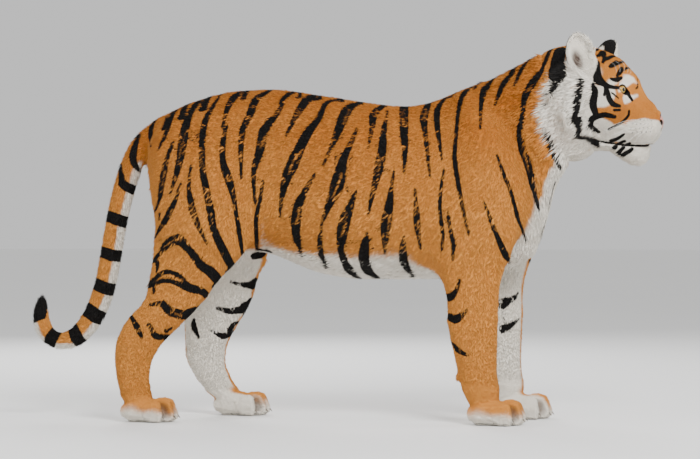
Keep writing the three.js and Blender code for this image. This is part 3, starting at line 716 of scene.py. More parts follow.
# ---- strokes --------------------------------------------------------------------------------------------
# Each stripe is a line of (x, y, width) in pixels of the 700 by 459 render, laid on the right side and
# carried to the left. Those over the back begin at the spine and cross it, and slits are pale lines in them.
OVER_THE_BACK = (
    ((158, 119, 4), (153, 125, 6), (151, 133, 5), (151, 140, 3), (152, 146, 1)),
    ((179, 109, 6), (172, 116, 5), (167, 132, 4), (163, 140, 3), (159, 149, 1)),
    (
        (201, 100, 7), (194, 108, 6), (189, 117, 5), (184, 134, 8), (181, 154, 7), (177, 172, 5),
        (170, 195, 1),
    ),
    (
        (219, 98, 2), (210, 112, 4), (204, 126, 5), (202, 148, 5), (203, 172, 5), (210, 208, 6),
        (214, 230, 6), (226, 256, 7), (233, 270, 6), (232, 277, 4),
    ),
    ((242, 92, 5), (235, 97, 7), (227, 110, 4), (222, 129, 1)),
    ((270, 91, 4), (256, 100, 7), (250, 115, 6), (243, 130, 5), (241, 148, 4), (241, 178, 1)),
    ((300, 93, 3), (290, 94, 5), (282, 101, 3), (280, 105, 1)),
    ((320, 95, 3), (310, 98, 8), (301, 108, 7), (294, 120, 4), (286, 136, 1)),
    (
        (343, 99, 3), (326, 104, 4), (319, 118, 5), (308, 133, 8), (300, 148, 9), (293, 164, 11),
        (286, 180, 8), (282, 197, 4), (280, 217, 1),
    ),
    ((362, 102, 3), (348, 109, 9), (341, 124, 8), (332, 146, 4), (323, 166, 1)),
    ((385, 105, 4), (374, 114, 7), (372, 128, 4), (368, 148, 1)),
    ((404, 107, 8), (404, 131, 7), (405, 150, 4), (404, 174, 1)),
    ((428, 105, 6), (424, 117, 7), (425, 132, 4), (430, 177, 1)),
    ((450, 94, 3), (439, 107, 5), (437, 123, 4.5), (442, 160, 1)),
    (
        (475, 86, 2), (464, 94, 5), (459, 110, 4), (456, 140, 3.5), (455, 160, 4), (460, 193, 3),
        (464, 213, 2.5), (469, 235, 1),
    ),
    ((490, 84, 5), (485, 90, 7), (481, 105, 3), (480, 130, 1)),
    ((512, 74, 6), (504, 84, 6), (500, 92, 4), (495, 105, 1)),
    ((526, 64, 4), (521, 72, 4), (514, 86, 1.5)),
    (
        (549, 53, 4), (544, 65, 3), (541, 72, 3.5), (533, 83, 7), (525, 97, 5), (523, 112, 3), (520, 131, 5),
        (522, 149, 7), (528, 167, 7), (534, 194, 6), (539, 212, 1),
    ),
)
ON_THE_FLANK = (
    ((173, 143, 1.5), (167, 160, 4), (163, 178, 7), (160, 198, 5), (153, 219, 1)),
    ((181, 184, 1.5), (175, 201, 4), (168, 216, 6), (160, 229, 4), (154, 241, 1)),
    ((191, 165, 1), (189, 188, 3), (192, 208, 6), (198, 225, 4), (207, 244, 1)),
    (
        (227, 125, 2), (223, 142, 4), (223, 162, 5), (228, 178, 7), (233, 195, 4), (236, 214, 3),
        (240, 238, 4), (243, 262, 2),
    ),
    ((239, 226, 1.5), (241, 236, 1.5)),
    (
        (283, 104, 2), (275, 117, 5), (264, 131, 8), (260, 150, 7), (254, 170, 4), (254, 190, 2),
        (255, 204, 1),
    ),
    ((263, 181, 1.5), (260, 200, 2.5), (256, 220, 3), (257, 248, 3)),
    ((315, 174, 1.5), (307, 188, 4), (299, 204, 8), (296, 222, 9), (297, 238, 7), (303, 256, 1)),
    (
        (357, 129, 1.5), (351, 143, 3.5), (344, 158, 6), (340, 173, 10), (336, 189, 12), (329, 205, 6),
        (321, 225, 1),
    ),
    (
        (356, 191, 1.5), (351, 205, 5), (345, 220, 10), (342, 236, 9), (341, 250, 5), (350, 270, 8),
        (362, 279, 4),
    ),
    ((322, 228, 1), (320, 241, 4), (322, 255, 5), (328, 267, 1)),
    ((388, 111, 1), (384, 130, 4), (382, 150, 7), (379, 167, 8), (375, 184, 5), (368, 214, 1)),
    ((394, 171, 1), (391, 190, 3), (389, 207, 7), (386, 225, 9), (385, 241, 5), (385, 254, 1)),
    ((367, 232, 1), (365, 245, 7), (364, 259, 9), (370, 272, 8), (383, 279, 2)),
    ((404, 236, 1), (403, 250, 6), (405, 264, 7), (415, 277, 1.5)),
    ((497, 156, 1), (503, 173, 2.5), (509, 188, 3), (514, 205, 3.5), (518, 220, 4), (526, 241, 1)),
    ((484, 202, 1), (490, 218, 2.5), (496, 234, 3), (503, 250, 5), (509, 262, 3)),
    ((415, 189, 1), (416, 205, 3), (417, 221, 6), (419, 237, 3), (421, 249, 1)),
    ((444, 170, 1), (441, 190, 2), (440, 209, 2.5), (443, 235, 2.5), (442, 250, 1)),
    ((448, 211, 1), (450, 227, 2.5), (453, 242, 3), (453, 260, 1)),
    ((549, 208, 2), (552, 197, 2.5), (560, 182, 2)),
    ((540, 236, 3), (547, 229, 3), (551, 221, 2)),
)
ON_THE_NEAR_LEGS = (
    ((161, 249, 2), (167, 242, 3), (178, 236, 3), (184, 240, 3), (190, 247, 1)),
    (
        (153, 262, 4), (163, 251, 3), (177, 243, 3), (190, 251, 6), (200, 264, 7), (213, 274, 9),
        (221, 286, 6), (219, 292, 2),
    ),
    ((152, 281, 3), (165, 272, 3), (178, 275, 3), (190, 285, 1)),
    ((148, 287, 3), (163, 281, 3), (176, 283, 3.5), (190, 288, 7), (203, 292, 6), (211, 302, 2)),
    ((150, 305, 1.5), (162, 304, 5), (172, 312, 8), (190, 316, 8), (196, 315, 5)),
    ((149, 325, 3), (156, 336, 5), (168, 336, 4), (174, 333, 1)),
    ((132, 318, 3), (138, 329, 5), (142, 338, 1)),
    ((460, 280, 1), (457, 289, 3), (451, 297, 6), (443, 296, 6)),
    ((467, 310, 1), (462, 315, 4), (456, 319, 7), (447, 316, 6)),
    ((467, 355, 2), (463, 353, 3), (458, 350, 5), (455, 346, 4)),
)
ON_THE_FAR_LEGS = (
    # The first is a black patch in the fold where the belly meets the far thigh: partly a stripe, partly
    # painted shade of the fold.
    ((268, 248, 8), (262, 253, 9), (254, 256, 6)),
    ((231, 282, 1), (240, 284, 3), (256, 285, 7), (268, 277, 6)),
    ((217, 308, 2), (230, 311, 5), (251, 308, 8)),
    ((212, 331, 1), (224, 336, 5), (237, 330, 5)),
    ((194, 320, 2), (194, 327, 5), (199, 338, 1)),
    ((518, 293, 1), (515, 297, 3), (510, 300, 6), (502, 304, 9)),
    ((519, 319, 1), (514, 323, 2.5), (508, 327, 4.5), (503, 329, 7)),
)
ROUND_THE_TAIL = (
    ((138, 134, 3), (134, 142, 5), (133, 150, 6), (138, 165, 5), (146, 174, 1)),
    ((119, 165, 3), (118, 174, 5), (122, 183, 7), (136, 191, 8)),
    ((107, 216, 10), (118, 219, 10), (129, 223, 10)),
    ((103, 252, 10), (114, 255, 10), (125, 257, 10)),
    ((97, 284, 11), (108, 288, 11), (118, 291, 11)),
    ((88, 309, 13), (98, 315, 13), (107, 321, 12)),
    ((75, 326, 9), (79, 336, 11), (84, 346, 10)),
    ((59, 330, 10), (54, 339, 11), (50, 348, 10)),
)
SLITS = (
    ((187, 130, 1.5), (182, 145, 1.5), (178, 165, 1.5)),
    ((165, 172, 1.5), (163, 182, 1.5), (162, 192, 1.5)),
    ((173, 208, 1.5), (168, 217, 1.5)),
    ((191, 203, 1.5), (193, 212, 1.5), (195, 218, 1.5)),
    ((211, 214, 1.5), (213, 226, 1.5)),
    ((227, 175, 1.5), (229, 182, 1.5)),
    ((258, 98, 2), (260, 101, 2)),
    ((266, 134, 2), (261, 148, 1.5)),
    ((302, 150, 2), (293, 162, 2.5), (289, 175, 1.5)),
    ((299, 208, 2), (297, 223, 2)),
    ((349, 110, 2), (343, 125, 2)),
    ((342, 173, 2), (338, 185, 3), (333, 197, 2)),
    ((346, 222, 2), (342, 236, 2)),
    ((377, 110, 2), (375, 117, 1.5)),
    ((381, 156, 1.5), (378, 175, 1.5)),
    ((390, 216, 2), (388, 229, 2)),
    ((403, 110, 2), (403, 125, 2)),
    ((426, 109, 2), (425, 118, 2)),
    ((486, 92, 1.5), (484, 99, 1.5)),
    ((533, 85, 1.5), (527, 92, 2)),
    ((521, 132, 1.5), (523, 146, 2), (529, 172, 1.5)),
    ((532, 178, 1.5), (537, 198, 1.5)),
    ((418, 220, 1.5), (418, 228, 1.5)),
    ((171, 311, 2), (181, 316, 2)),
)
ON_THE_FACE = (
    ((560, 50, 10), (558, 62, 14), (557, 74, 15), (556, 84, 6), (551, 97, 2), (548, 104, 1)),
    ((582, 81, 4), (578, 100, 5), (577, 110, 5), (573, 122, 2)),
    ((592, 84, 2), (595, 92, 5), (593, 104, 6), (596, 115, 4)),
    ((590, 126, 4), (592, 119, 5), (599, 116, 4), (606, 115, 4), (615, 117, 2)),
    ((590, 126, 4), (594, 129, 4), (599, 132, 2)),
    ((579, 119, 4), (579, 130, 5), (577, 138, 3)),
    ((578, 136, 4), (588, 137, 5), (594, 142, 5), (599, 146, 2)),
    ((598, 62, 2), (598, 71, 4), (598, 79, 8), (604, 84, 5), (611, 87, 3), (621, 88, 2)),
    ((606, 86, 3), (606, 91, 3), (604, 95, 1)),
    ((608, 91, 2), (609, 98, 4), (613, 104, 4), (620, 106, 1.5)),
    ((612, 93, 0.6), (618, 98, 0.6)),
    ((625, 89, 3), (628, 94, 3.5), (632, 100, 1.5)),
    ((604, 52, 3), (604, 58, 3), (603, 63, 1)),
    ((610, 67, 2), (613, 65, 4), (617, 62, 3)),
    ((622, 68, 2), (620, 72, 3.5), (617, 76, 1)),
    ((611, 79, 1.5), (616, 80, 3.5), (621, 78, 2)),
    ((609, 129, 2), (615, 126, 1.5), (622, 122, 1.5), (628, 116, 1.2), (629, 111, 1)),
    ((614, 110, 1.2), (620, 110, 1.2)),
    # The next four are dark lines at the corner of the mouth: partly the dark skin of the lips, partly
    # painted shade of the lip's fold.
    ((611, 141, 3), (618, 138, 3), (624, 134, 1)),
    ((614, 148, 3), (620, 143, 2), (625, 141, 1)),
    ((618, 153, 3), (625, 146, 2), (630, 143, 1)),
    ((622, 155, 3), (628, 152, 3), (632, 149, 2)),
    ((549, 133, 3), (551, 145, 4), (554, 157, 4), (560, 168, 3)),
)
# Marks of the brow and crown, as (x, y, z, width) in millimetres on the straight-ahead head, for both sides.
ON_THE_BROW = (
    ((880, 0, 1012, 3), (862, 1, 1036, 5), (838, 0, 1062, 8), (812, 0, 1080, 5)),
    ((850, 12, 1052, 4), (842, 30, 1046, 9), (830, 48, 1037, 8), (818, 62, 1030, 3)),
    ((832, 9, 1068, 5), (826, 28, 1068, 10), (812, 50, 1056, 11), (796, 66, 1044, 5)),
    ((806, 7, 1082, 6), (798, 32, 1083, 12), (786, 54, 1073, 12), (770, 74, 1056, 6)),
    ((778, 5, 1092, 6), (770, 34, 1093, 12), (760, 60, 1086, 13), (748, 78, 1074, 6)),
    ((752, 5, 1098, 5), (742, 36, 1098, 13), (730, 62, 1090, 12), (718, 76, 1080, 6)),
    ((872, 14, 1022, 3), (874, 20, 1006, 5), (870, 27, 990, 6), (862, 33, 978, 4)),
)
PIXEL_STEP = 1.2
INK = 1.7  # pixels added to each width, because the pale fur beside a stripe laps over its edge
SLIT_INK = -0.5
THINNEST = 0.4
WRAPPED = 2.5  # a stroke that ends wider than this at an outline runs on round it, in pixels
WRAP_STEPS = 7
WRAP_STEP = 6 * MM
WRAP_TIP = 0.4 * MM
BEYOND_THE_END = 2.5  # how far past its end a stroke is looked for, in lengths of its last piece
INK_REACH = 0.03  # farther than this from a stroke, in metres, no place asks how far it is


class Strokes:
    """Lines of round dabs on the skin. A point is inside where the nearest dab reaches it."""

    def __init__(self):
        self.places = []
        self.radii = []

    def add(self, places, radii):
        self.places += [Vector(p) for p in places]
        self.radii += [float(r) for r in radii]

    def grow_tree(self):
        self.tree = KDTree(len(self.places))
        for i, place in enumerate(self.places):
            self.tree.insert(place, i)
        self.tree.balance()

    def depth(self, points, reach=INK_REACH, around=10):
        """How far inside the nearest stroke each point is, in metres, and minus the reach well outside."""
        found = np.full(len(points), -reach)
        for i, point in enumerate(points):
            if self.tree.find(point)[2] < reach:
                found[i] = max(self.radii[k] - gap for _, k, gap in self.tree.find_n(point, around))
        return np.maximum(found, -reach)


skin_tree = BVHTree.FromPolygons(surface.co.tolist(), surface.tris.tolist())


def tree_of(names):
    """The skin of some nodes alone."""
    own = np.isin(region[surface.tris[:, 0]], [FLESH.index(name) for name in names])
    return BVHTree.FromPolygons(surface.co.tolist(), surface.tris[own].tolist())


RIGHT_LEGS, LEFT_LEGS = (
    [f"{side}_{part}" for parts in LEG_PARTS.values() for part in parts] for side in SIDES
)
near_tree = tree_of((*TORSO, *FACE_PARTS, *RIGHT_LEGS, "tail_root"))
far_tree = tree_of(LEFT_LEGS)
tail_tree = tree_of(TAIL)


def cast(px, py, tree):
    """Where a pixel falls on some skin and True, or the nearest place on its outline and False."""
    direction = sight(px, py)
    hit = tree.ray_cast(CAMERA_PLACE, direction)[0]
    if hit is not None:
        return hit, True
    hit = CAMERA_TARGET
    for _ in range(4):
        hit = tree.find_nearest(CAMERA_PLACE + direction * (hit - CAMERA_PLACE).dot(FORWARD))[0]
    return hit, False


def laid(stroke, tree, ink=INK, ends=((0, 4), (-1, -5))):
    """A stroke's places on the skin, its half widths there in metres, and how many the camera sees.

    The given ends, where they are wide and lie on an outline, run on round the form.
    """
    line = spline(stroke, PIXEL_STEP)
    places = [cast(x, y, tree)[0] for x, y, _ in line]
    radii = list((np.maximum(line[:, 2], THINNEST) + ink) / 2 * PIXEL)
    for end, before in ends:
        if line[end, 2] < WRAPPED or len(line) < 6:
            continue
        ahead = (places[end] - places[before]).normalized()
        onward = line[end, :2] - line[before, :2]
        beyond = cast(*(line[end, :2] + BEYOND_THE_END * onward), tree)
        if beyond[1]:
            continue
        place, radius = places[end], radii[end]
        for count in range(WRAP_STEPS):
            turned = (ahead + FORWARD * (0.5 + 0.3 * count)).normalized()
            place = tree.find_nearest(place + turned * WRAP_STEP)[0]
            places.append(place)
            radii.append(radius * (1 - (count + 1) / (WRAP_STEPS + 1)) + WRAP_TIP)
    return places, np.array(radii), len(line)


def snapped(places, tree=None):
    return [(tree or skin_tree).find_nearest(Vector(p))[0] for p in places]


def on_axis(side, end, level):
    levels, middles = AXES[side, end]
    return np.array([np.interp(level, levels, middles[:, axis]) for axis in (0, 1)])


COPY_REACH = 20 * MM  # a copy of a dab that finds no skin within this is left out
COPY_LEAST = 0.6  # and a copy of a stroke that keeps less than this share of its dabs


def copied(wanted, radii):
    """Adds dabs to the black strokes where there is skin near their wanted places."""
    found = snapped(wanted)
    close = np.array([(place - Vector(aim)).length < COPY_REACH for place, aim in zip(found, wanted)])
    if close.mean() > COPY_LEAST:
        black.add([place for place, fits in zip(found, close) if fits], np.asarray(radii)[close])


def carried(places, end, source, target):
    """The mirror image of places on one leg, near the other leg of the pair."""
    found = []
    for x, y, z in places:
        here = on_axis(source, end, z)
        there = on_axis(target, end, z)
        found.append((x - here[0] + there[0], there[1] - (y - here[1]), z))
    return found


def end_of(place):
    """Whether a place is on a fore or a hind leg, and how surely it is on a leg and not on the trunk."""
    end = "fore" if place[0] > FORE_FROM_X else "hind"
    return end, float(step(*LEG_TOP, np.array(place[2])))


def mirrored(places, shift=0.0):
    """Places on the right side carried to the left, following the left legs where they stand elsewhere."""
    found = []
    for place in places:
        end, surely = end_of(place)
        here = on_axis("right", end, place.z)
        there = on_axis("left", end, place.z)
        x = place.x + surely * (there[0] - here[0]) + shift
        found.append((x, surely * (there[1] + here[1]) - place.y, place.z))
    return found


BRIDGE_STEPS = 26
BRIDGE_RISE = 0.05


def bridged(start, finish):
    """Places over the spine between two starts of a stripe."""
    line = []
    for share in np.linspace(0, 1, BRIDGE_STEPS)[1:-1]:
        middle = start.lerp(finish, share)
        middle.z += BRIDGE_RISE * math.sin(math.pi * share)
        line.append(middle)
    return snapped(line)


TAIL_PLANE = centre_of("tail_lower").y
TAIL_HALF = 36 * MM


def ringed(stroke):
    """A stroke over the side of the tail, carried on round its far side."""
    line = spline(stroke, PIXEL_STEP)
    places, radii = [], []
    for share, (x, y, width) in zip(np.linspace(0, 1, len(line)), line):
        middle = on_plane(x, y, TAIL_PLANE)
        out = TAIL_HALF * (0.1 + math.sin(math.pi * share))
        places += [middle + Vector((0, sign * out, 0)) for sign in SIDES.values()]
        radii += [(width + INK) / 2 * PIXEL] * 2
    return snapped(places, tail_tree), np.array(radii)


face_tree = tree_of((*FACE_PARTS, *TORSO))
black = Strokes()
slits = Strokes()
STRIPE_SEED = 7
rng = np.random.default_rng(STRIPE_SEED)
SHIFTED = (-0.012, 0.012)  # how far a copied stripe may lie along the other side, in metres
THICKENED = (0.85, 1.15)  # and how much thinner or thicker it may be
for stroke in OVER_THE_BACK:
    places, radii, _ = laid(stroke, near_tree, ends=())
    black.add(places, radii)
    other = mirrored(places, rng.uniform(*SHIFTED))
    copied(other, radii * rng.uniform(*THICKENED))
    over = bridged(places[0], snapped(other[:1])[0])
    black.add(over, np.full(len(over), radii[0] * 0.9))
for stroke in ON_THE_FLANK:
    places, radii, seen = laid(stroke, near_tree)
    black.add(places, radii)
    copied(mirrored(places[:seen], rng.uniform(*SHIFTED)), radii[:seen] * rng.uniform(*THICKENED))
for strokes, tree, source, target in (
    (ON_THE_NEAR_LEGS, near_tree, "right", "left"),
    (ON_THE_FAR_LEGS, far_tree, "left", "right"),
):
    for stroke in strokes:
        places, radii, seen = laid(stroke, tree)
        black.add(places, radii)
        end = end_of(places[0])[0]
        if tree is near_tree or end == "hind":
            copied(carried(places[:seen], end, source, target), radii[:seen])
for stroke in ROUND_THE_TAIL:
    places, radii = ringed(stroke)
    black.add(places, radii)
for stroke in SLITS:
    places, radii, _ = laid(stroke, near_tree, SLIT_INK, ())
    slits.add(places, radii)
    slits.add(snapped(mirrored(places)), radii)
for stroke in ON_THE_FACE:
    places, radii, _ = laid(stroke, face_tree, ends=())
    black.add(places, radii)
    local = head_places(np.array(places)) * (1, -1, 1)
    black.add(snapped([on_head(*p) for p in local]), radii)
BROW_SPREAD = (2.5, 1.5, 2.5, 0.8)  # the two sides' marks differ by this much, in mm
for stroke in ON_THE_BROW:
    for sign in SIDES.values():
        line = spline(np.array(stroke) + rng.normal(0, BROW_SPREAD, (len(stroke), 4)), 3)
        radii = np.maximum(line[:, 3], 1) / 2 * MM
        black.add(snapped([on_head(x, sign * y, z) for x, y, z, _ in line]), radii)
black.grow_tree()
slits.grow_tree()


# White fur of the face, in the same way: over and under the eye, the whisker pad, the cheek and the jaw.
WHITE_ON_THE_FACE = (
    ((868, 26, 1000, 6), (856, 38, 1006, 18), (840, 54, 1006, 30), (822, 68, 1004, 34), (806, 80, 998, 26)),
    ((806, 84, 1000, 20), (794, 92, 986, 22), (788, 96, 966, 34)),
    ((866, 38, 960, 5), (852, 50, 954, 14), (834, 66, 950, 24), (808, 82, 950, 34), (778, 94, 954, 56)),
    ((778, 94, 946, 56), (750, 100, 950, 70), (726, 102, 960, 60)),
    ((668, 98, 1012, 56), (660, 100, 972, 84), (658, 98, 925, 90), (662, 96, 880, 90)),
    ((940, 6, 850, 16), (936, 14, 864, 20), (922, 32, 868, 38), (900, 50, 866, 52), (868, 60, 862, 54)),
    ((940, 0, 836, 34), (926, 26, 838, 48), (900, 46, 836, 54), (860, 60, 836, 52), (820, 68, 840, 48)),
    ((944, 0, 846, 20), (934, 0, 826, 34), (915, 0, 815, 40)),
    ((850, 64, 856, 46), (820, 72, 852, 50), (780, 82, 864, 70), (744, 92, 884, 90), (706, 100, 900, 90)),
    ((744, 92, 930, 64), (706, 104, 944, 70), (690, 100, 984, 50), (676, 96, 1010, 30)),
    ((770, 70, 816, 60), (720, 84, 826, 80), (680, 90, 840, 80), (650, 90, 860, 60)),
    ((760, 0, 780, 70), (710, 0, 790, 90), (690, 50, 800, 90), (690, 84, 850, 90), (650, 96, 900, 60)),
)
# Rows of whiskers on each pad: the front and back ends of a row, as (x, z), and how many roots it has.
WHISKER_ROWS = (
    ((926, 889), (884, 892), 5),
    ((928, 878), (872, 880), 6),
    ((927, 867), (866, 867), 6),
    ((923, 856), (870, 854), 5),
)
ROOT_MARK = 1.7 * MM
BESIDE_THE_HEAD = 120  # from here whiskers' roots are looked for inwards, in mm
EAR_BASE = (24, 0, -44)
EAR_BASE_REACH = 42 * MM
white_marks = Strokes()
for stroke in WHITE_ON_THE_FACE:
    line = spline(stroke, 5)
    for sign in SIDES.values():
        white_marks.add(snapped([on_head(x, sign * y, z) for x, y, z, _ in line]), line[:, 3] / 2 * MM)
for side in SIDES:
    white_marks.add(snapped([ear_matrix(side) @ Vector(EAR_BASE)]), [EAR_BASE_REACH])
white_marks.grow_tree()


def whisker_roots():
    """Places on the skin where whiskers grow, with the side and how far back each is, from 0 to 1."""
    found = []
    for side, sign in SIDES.items():
        for (x0, z0), (x1, z1), count in WHISKER_ROWS:
            for share in np.linspace(0, 1, count):
                x, z = x0 + (x1 - x0) * share, z0 + (z1 - z0) * share
                beside = on_head(x, sign * BESIDE_THE_HEAD, z)
                inward = HEAD.to_3x3() @ Vector((-0.25, -sign, 0))
                place = skin_tree.ray_cast(beside, inward.normalized())[0]
                if place is not None:
                    found.append((side, share, place))
    return found


WHISKERS = whisker_roots()
pores = Strokes()
pores.add([place for _, _, place in WHISKERS], np.full(len(WHISKERS), ROOT_MARK))
pores.grow_tree()

TAIL_END_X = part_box("tail_tip")[0].x
PAD_BLACK = -4.0  # the skin under the nose's pad is black inside this distance from its edge, in mm
EYE_RIM = 6.0  # width of the black edge of the lids, in mm
TAIL_BLACK_FROM = 0.285  # the tail is black above this height on its upturned end
TAIL_BLACK_SLOPE = 0.4
TAIL_TIP_WIDTH = 0.045
EAR_SIZE = (40, 50, 70)  # no stripe runs onto an ear, whose own millimetres these are


def bare_black(places):
    """How far inside the black rims of the eyes and the lips each place is, in metres."""
    found = np.full(len(places), -INK_REACH)
    local = head_places(places)
    on_muzzle = local[:, 0] > MOUTH[0][0]
    above, _ = mouth_gap(local)
    lips = (LIP_REACH - np.abs(above + 1)) * MM
    found[on_muzzle] = lips[on_muzzle]
    found = np.maximum(found, (PAD_BLACK - beyond_pad(local)) * MM)
    for side in SIDES:
        near = np.linalg.norm(places - np.array(centre_of(f"{side}_eye")), axis=1) < EYE_REFINED
        rim = (EYE_RIM - beyond_almond(places[near], side)) * MM
        found[near] = np.maximum(found[near], rim)
    return found


def stripe_depth(places):
    """How far inside a black mark each place is, in metres. Negative is outside."""
    points = [Vector(p) for p in places]
    striped = np.minimum(black.depth(points), -slits.depth(points, reach=0.02, around=6))
    for side in EAR_POSES:
        own = np.linalg.norm(ear_places(side, places) / EAR_SIZE, axis=1)
        striped = np.where(own < 1, -INK_REACH, striped)
    tail_end = places[:, 2] - TAIL_BLACK_FROM - TAIL_BLACK_SLOPE * (places[:, 0] - TAIL_END_X)
    tail_end = np.where(places[:, 0] < TAIL_END_X + TAIL_TIP_WIDTH, tail_end, -INK_REACH)
    marks = np.maximum(bare_black(places), pores.depth(points, reach=0.01, around=2))
    return np.maximum(np.maximum(striped, tail_end), marks)


def put(mesh, name, values):
    kind = "FLOAT" if values.ndim == 1 else "FLOAT_VECTOR"
    field = "value" if values.ndim == 1 else "vector"
    layer = mesh.attributes.new(name, kind, "POINT")
    layer.data.foreach_set(field, values.astype(np.float32).ravel())


# ---- unwrap ---------------------------------------------------------------------------------------------
BAKE_MAP = "OFBake"
UNWRAP_ANGLE = math.radians(66)
UNWRAP_MARGIN = 0.002


def unwrap(made):
    """Flattens the skin's own shape into islands. Each tuft takes its place on the map from its root."""
    made.data.uv_layers.new(name=BAKE_MAP)
    bpy.context.view_layer.objects.active = made
    made.select_set(True)
    bpy.ops.object.mode_set(mode="EDIT")
    bpy.ops.mesh.select_all(action="SELECT")
    bpy.ops.uv.smart_project(angle_limit=UNWRAP_ANGLE, island_margin=UNWRAP_MARGIN)
    bpy.ops.object.mode_set(mode="OBJECT")
    made.select_set(False)
    flat = np.zeros(len(made.data.loops) * 2, np.float32)
    made.data.uv_layers[BAKE_MAP].data.foreach_get("uv", flat)
    return flat.reshape(-1, 3, 2)


skin_uv = unwrap(skin)

# ---- what grows where -----------------------------------------------------------------------------------
TAIL_LINE = (
    (142, 140), (126, 165), (118, 200), (114, 245), (108, 288), (98, 316), (80, 338), (62, 341), (46, 330),
    (44, 300),
)
NOSE_TIP = np.array((935.0, 0.0, 895.0))
RUFF_CENTRE = np.array((806.0, 1010.0))
EDGE_ROUNDS = 10  # how softly the coats of two regions meet
BROAD_ROUNDS = 25
on_neck = share_of(("neck",), EDGE_ROUNDS)
on_torso = share_of(TORSO, EDGE_ROUNDS)
on_hams = share_of(HAMS, EDGE_ROUNDS)
on_jaw = share_of(("lower_jaw",), 3)
broad_normals = unit(surface.diffused(surface.normals, BROAD_ROUNDS))  # of the large forms alone
nx, ny, nz = broad_normals.T
px, py, pz = surface.co.T
side_sign = np.where(np.isin(region, [i for i, name in enumerate(FLESH) if "right" in name]), -1.0, 1.0)


def tail_directions():
    line = np.array([on_plane(x, y, TAIL_PLANE) for x, y in spline(TAIL_LINE, 4)])
    tree = KDTree(len(line))
    for i, place in enumerate(line):
        tree.insert(place, i)
    tree.balance()
    tangents = unit(np.gradient(line, axis=0))
    found = np.zeros_like(surface.co)
    for i in np.flatnonzero(on_tail > 0.01):
        found[i] = tangents[tree.find(surface.co[i])[1]]
    return found


tail_along = tail_directions()
tail_below = np.stack([-tail_along[:, 2], np.zeros(len(tail_along)), tail_along[:, 0]], axis=1)
EYE_PARTING = 34 * MM  # fur within this of an eye points away from it
FACE_BIAS = 3  # how strongly a small region's own lie holds against its neighbours'
EAR_BIAS = 4
LIE_ROUNDS = 14


def lie_of_the_coat():
    """The way the fur points at each vertex: back along the body, down the legs, forward on the paws."""
    count = len(surface.co)
    front = step(0.2, 0.75, nx)
    trunk = np.stack([-1 + 0.9 * front, np.zeros(count), -0.25 - 0.45 * np.abs(ny) - 1.1 * front], axis=1)
    ham = np.tile((-0.55, 0, -1.0), (count, 1))
    shin = np.tile((-0.2, 0, -1.0), (count, 1))
    paw = np.tile((1.0, 0, -0.35), (count, 1))
    away = unit(head_xyz - NOSE_TIP)
    cheek = np.stack(
        [head_xyz[:, 0] - RUFF_CENTRE[0], 0.35 * head_xyz[:, 1], head_xyz[:, 2] - RUFF_CENTRE[1]], axis=1
    )
    face = unit(away * (1 - on_ruff[:, None]) + 1.5 * unit(cheek) * on_ruff[:, None])
    face = face @ np.array(HEAD)[:3, :3].T
    total = trunk * on_torso[:, None] + ham * on_hams[:, None]
    total += shin * 2 * on_shins[:, None] + paw * FACE_BIAS * on_paws[:, None]
    total += face * FACE_BIAS * np.maximum(on_face, on_ruff)[:, None]
    total += tail_along * FACE_BIAS * on_tail[:, None]
    for side in EAR_POSES:
        frame_axes = np.array(ear_matrix(side))[:3, :3] / MM
        mine = share_of((f"{side}_ear",), 1)[:, None] * EAR_BIAS
        across_bowl = frame_axes[:, 1] * SIDES[side] * ear_fringe[:, None]
        total += mine * (frame_axes[:, 2] * (1 - 0.5 * ear_fringe[:, None]) + across_bowl)
    total = surface.diffused(unit(total), LIE_ROUNDS)
    for side in SIDES:
        outward = surface.co - np.array(centre_of(f"{side}_eye"))
        near = step(EYE_PARTING, 0.65 * EYE_PARTING, np.linalg.norm(outward, axis=1))
        total = total * (1 - 0.8 * near[:, None]) + unit(outward) * near[:, None]
    total -= surface.normals * np.sum(total * surface.normals, axis=1)[:, None]
    return unit(total)


def waver(places, size):
    """A smooth drift between about -1 and 1 over lengths of this size."""
    x, y, z = (places * (2.2 / size)).T
    return (
        np.sin(x + 1.3 * np.sin(0.8 * z + 0.5))
        + np.sin(y + 1.2 * np.sin(0.9 * x + 2.0))
        + np.sin(z + 1.1 * np.sin(0.85 * y + 4.0))
    ) / 3


# Each pair is where a part of the white begins and where it is full. Slopes are of the skin's normal, with
# 1 for skin that faces straight that way, and the rest are places in metres.
BELLY_SLOPE, BELLY_LEVEL = (-0.42, -0.9), (0.56, 0.49)
BREAST_SLOPE, BREAST_FROM = (0.45, 0.85), (0.40, 0.46)
BREAST_HALF, BREAST_EDGE, BREAST_WIDENING, BREAST_LEVEL = 0.17, 0.07, 0.03, (0.62, 0.54)
BREAST_TILT, BREAST_TILT_LEVEL = 0.35, (0.66, 0.56)
THROAT_SLOPE = (0.3, 0.75)
ARMPIT_LEVEL, ARMPIT_HALF = (0.53, 0.47), (0.16, 0.12)
FORE_LEG_TOP, HIND_LEG_TOP = (0.56, 0.48), (0.70, 0.54)
FORE_LEG_MIDDLE, HIND_LEG_MIDDLE = 0.13, 0.145
INNER_SLOPE, INNER_FROM = (0.0, 0.55), (-0.01, 0.02)
INNER_PAW = (0.02, 0.36)  # across a paw from its middle, as a share of its width
PAW_ROUNDS = 24
TOE_LEVEL = (0.075, 0.005)
TAIL_SLOPE = (0.15, 0.75)
MARK_EDGE, MARK_REACH, MARK_DRIFT = (-9, 7), 0.06, 4  # of the face's white marks, with the edge in mm


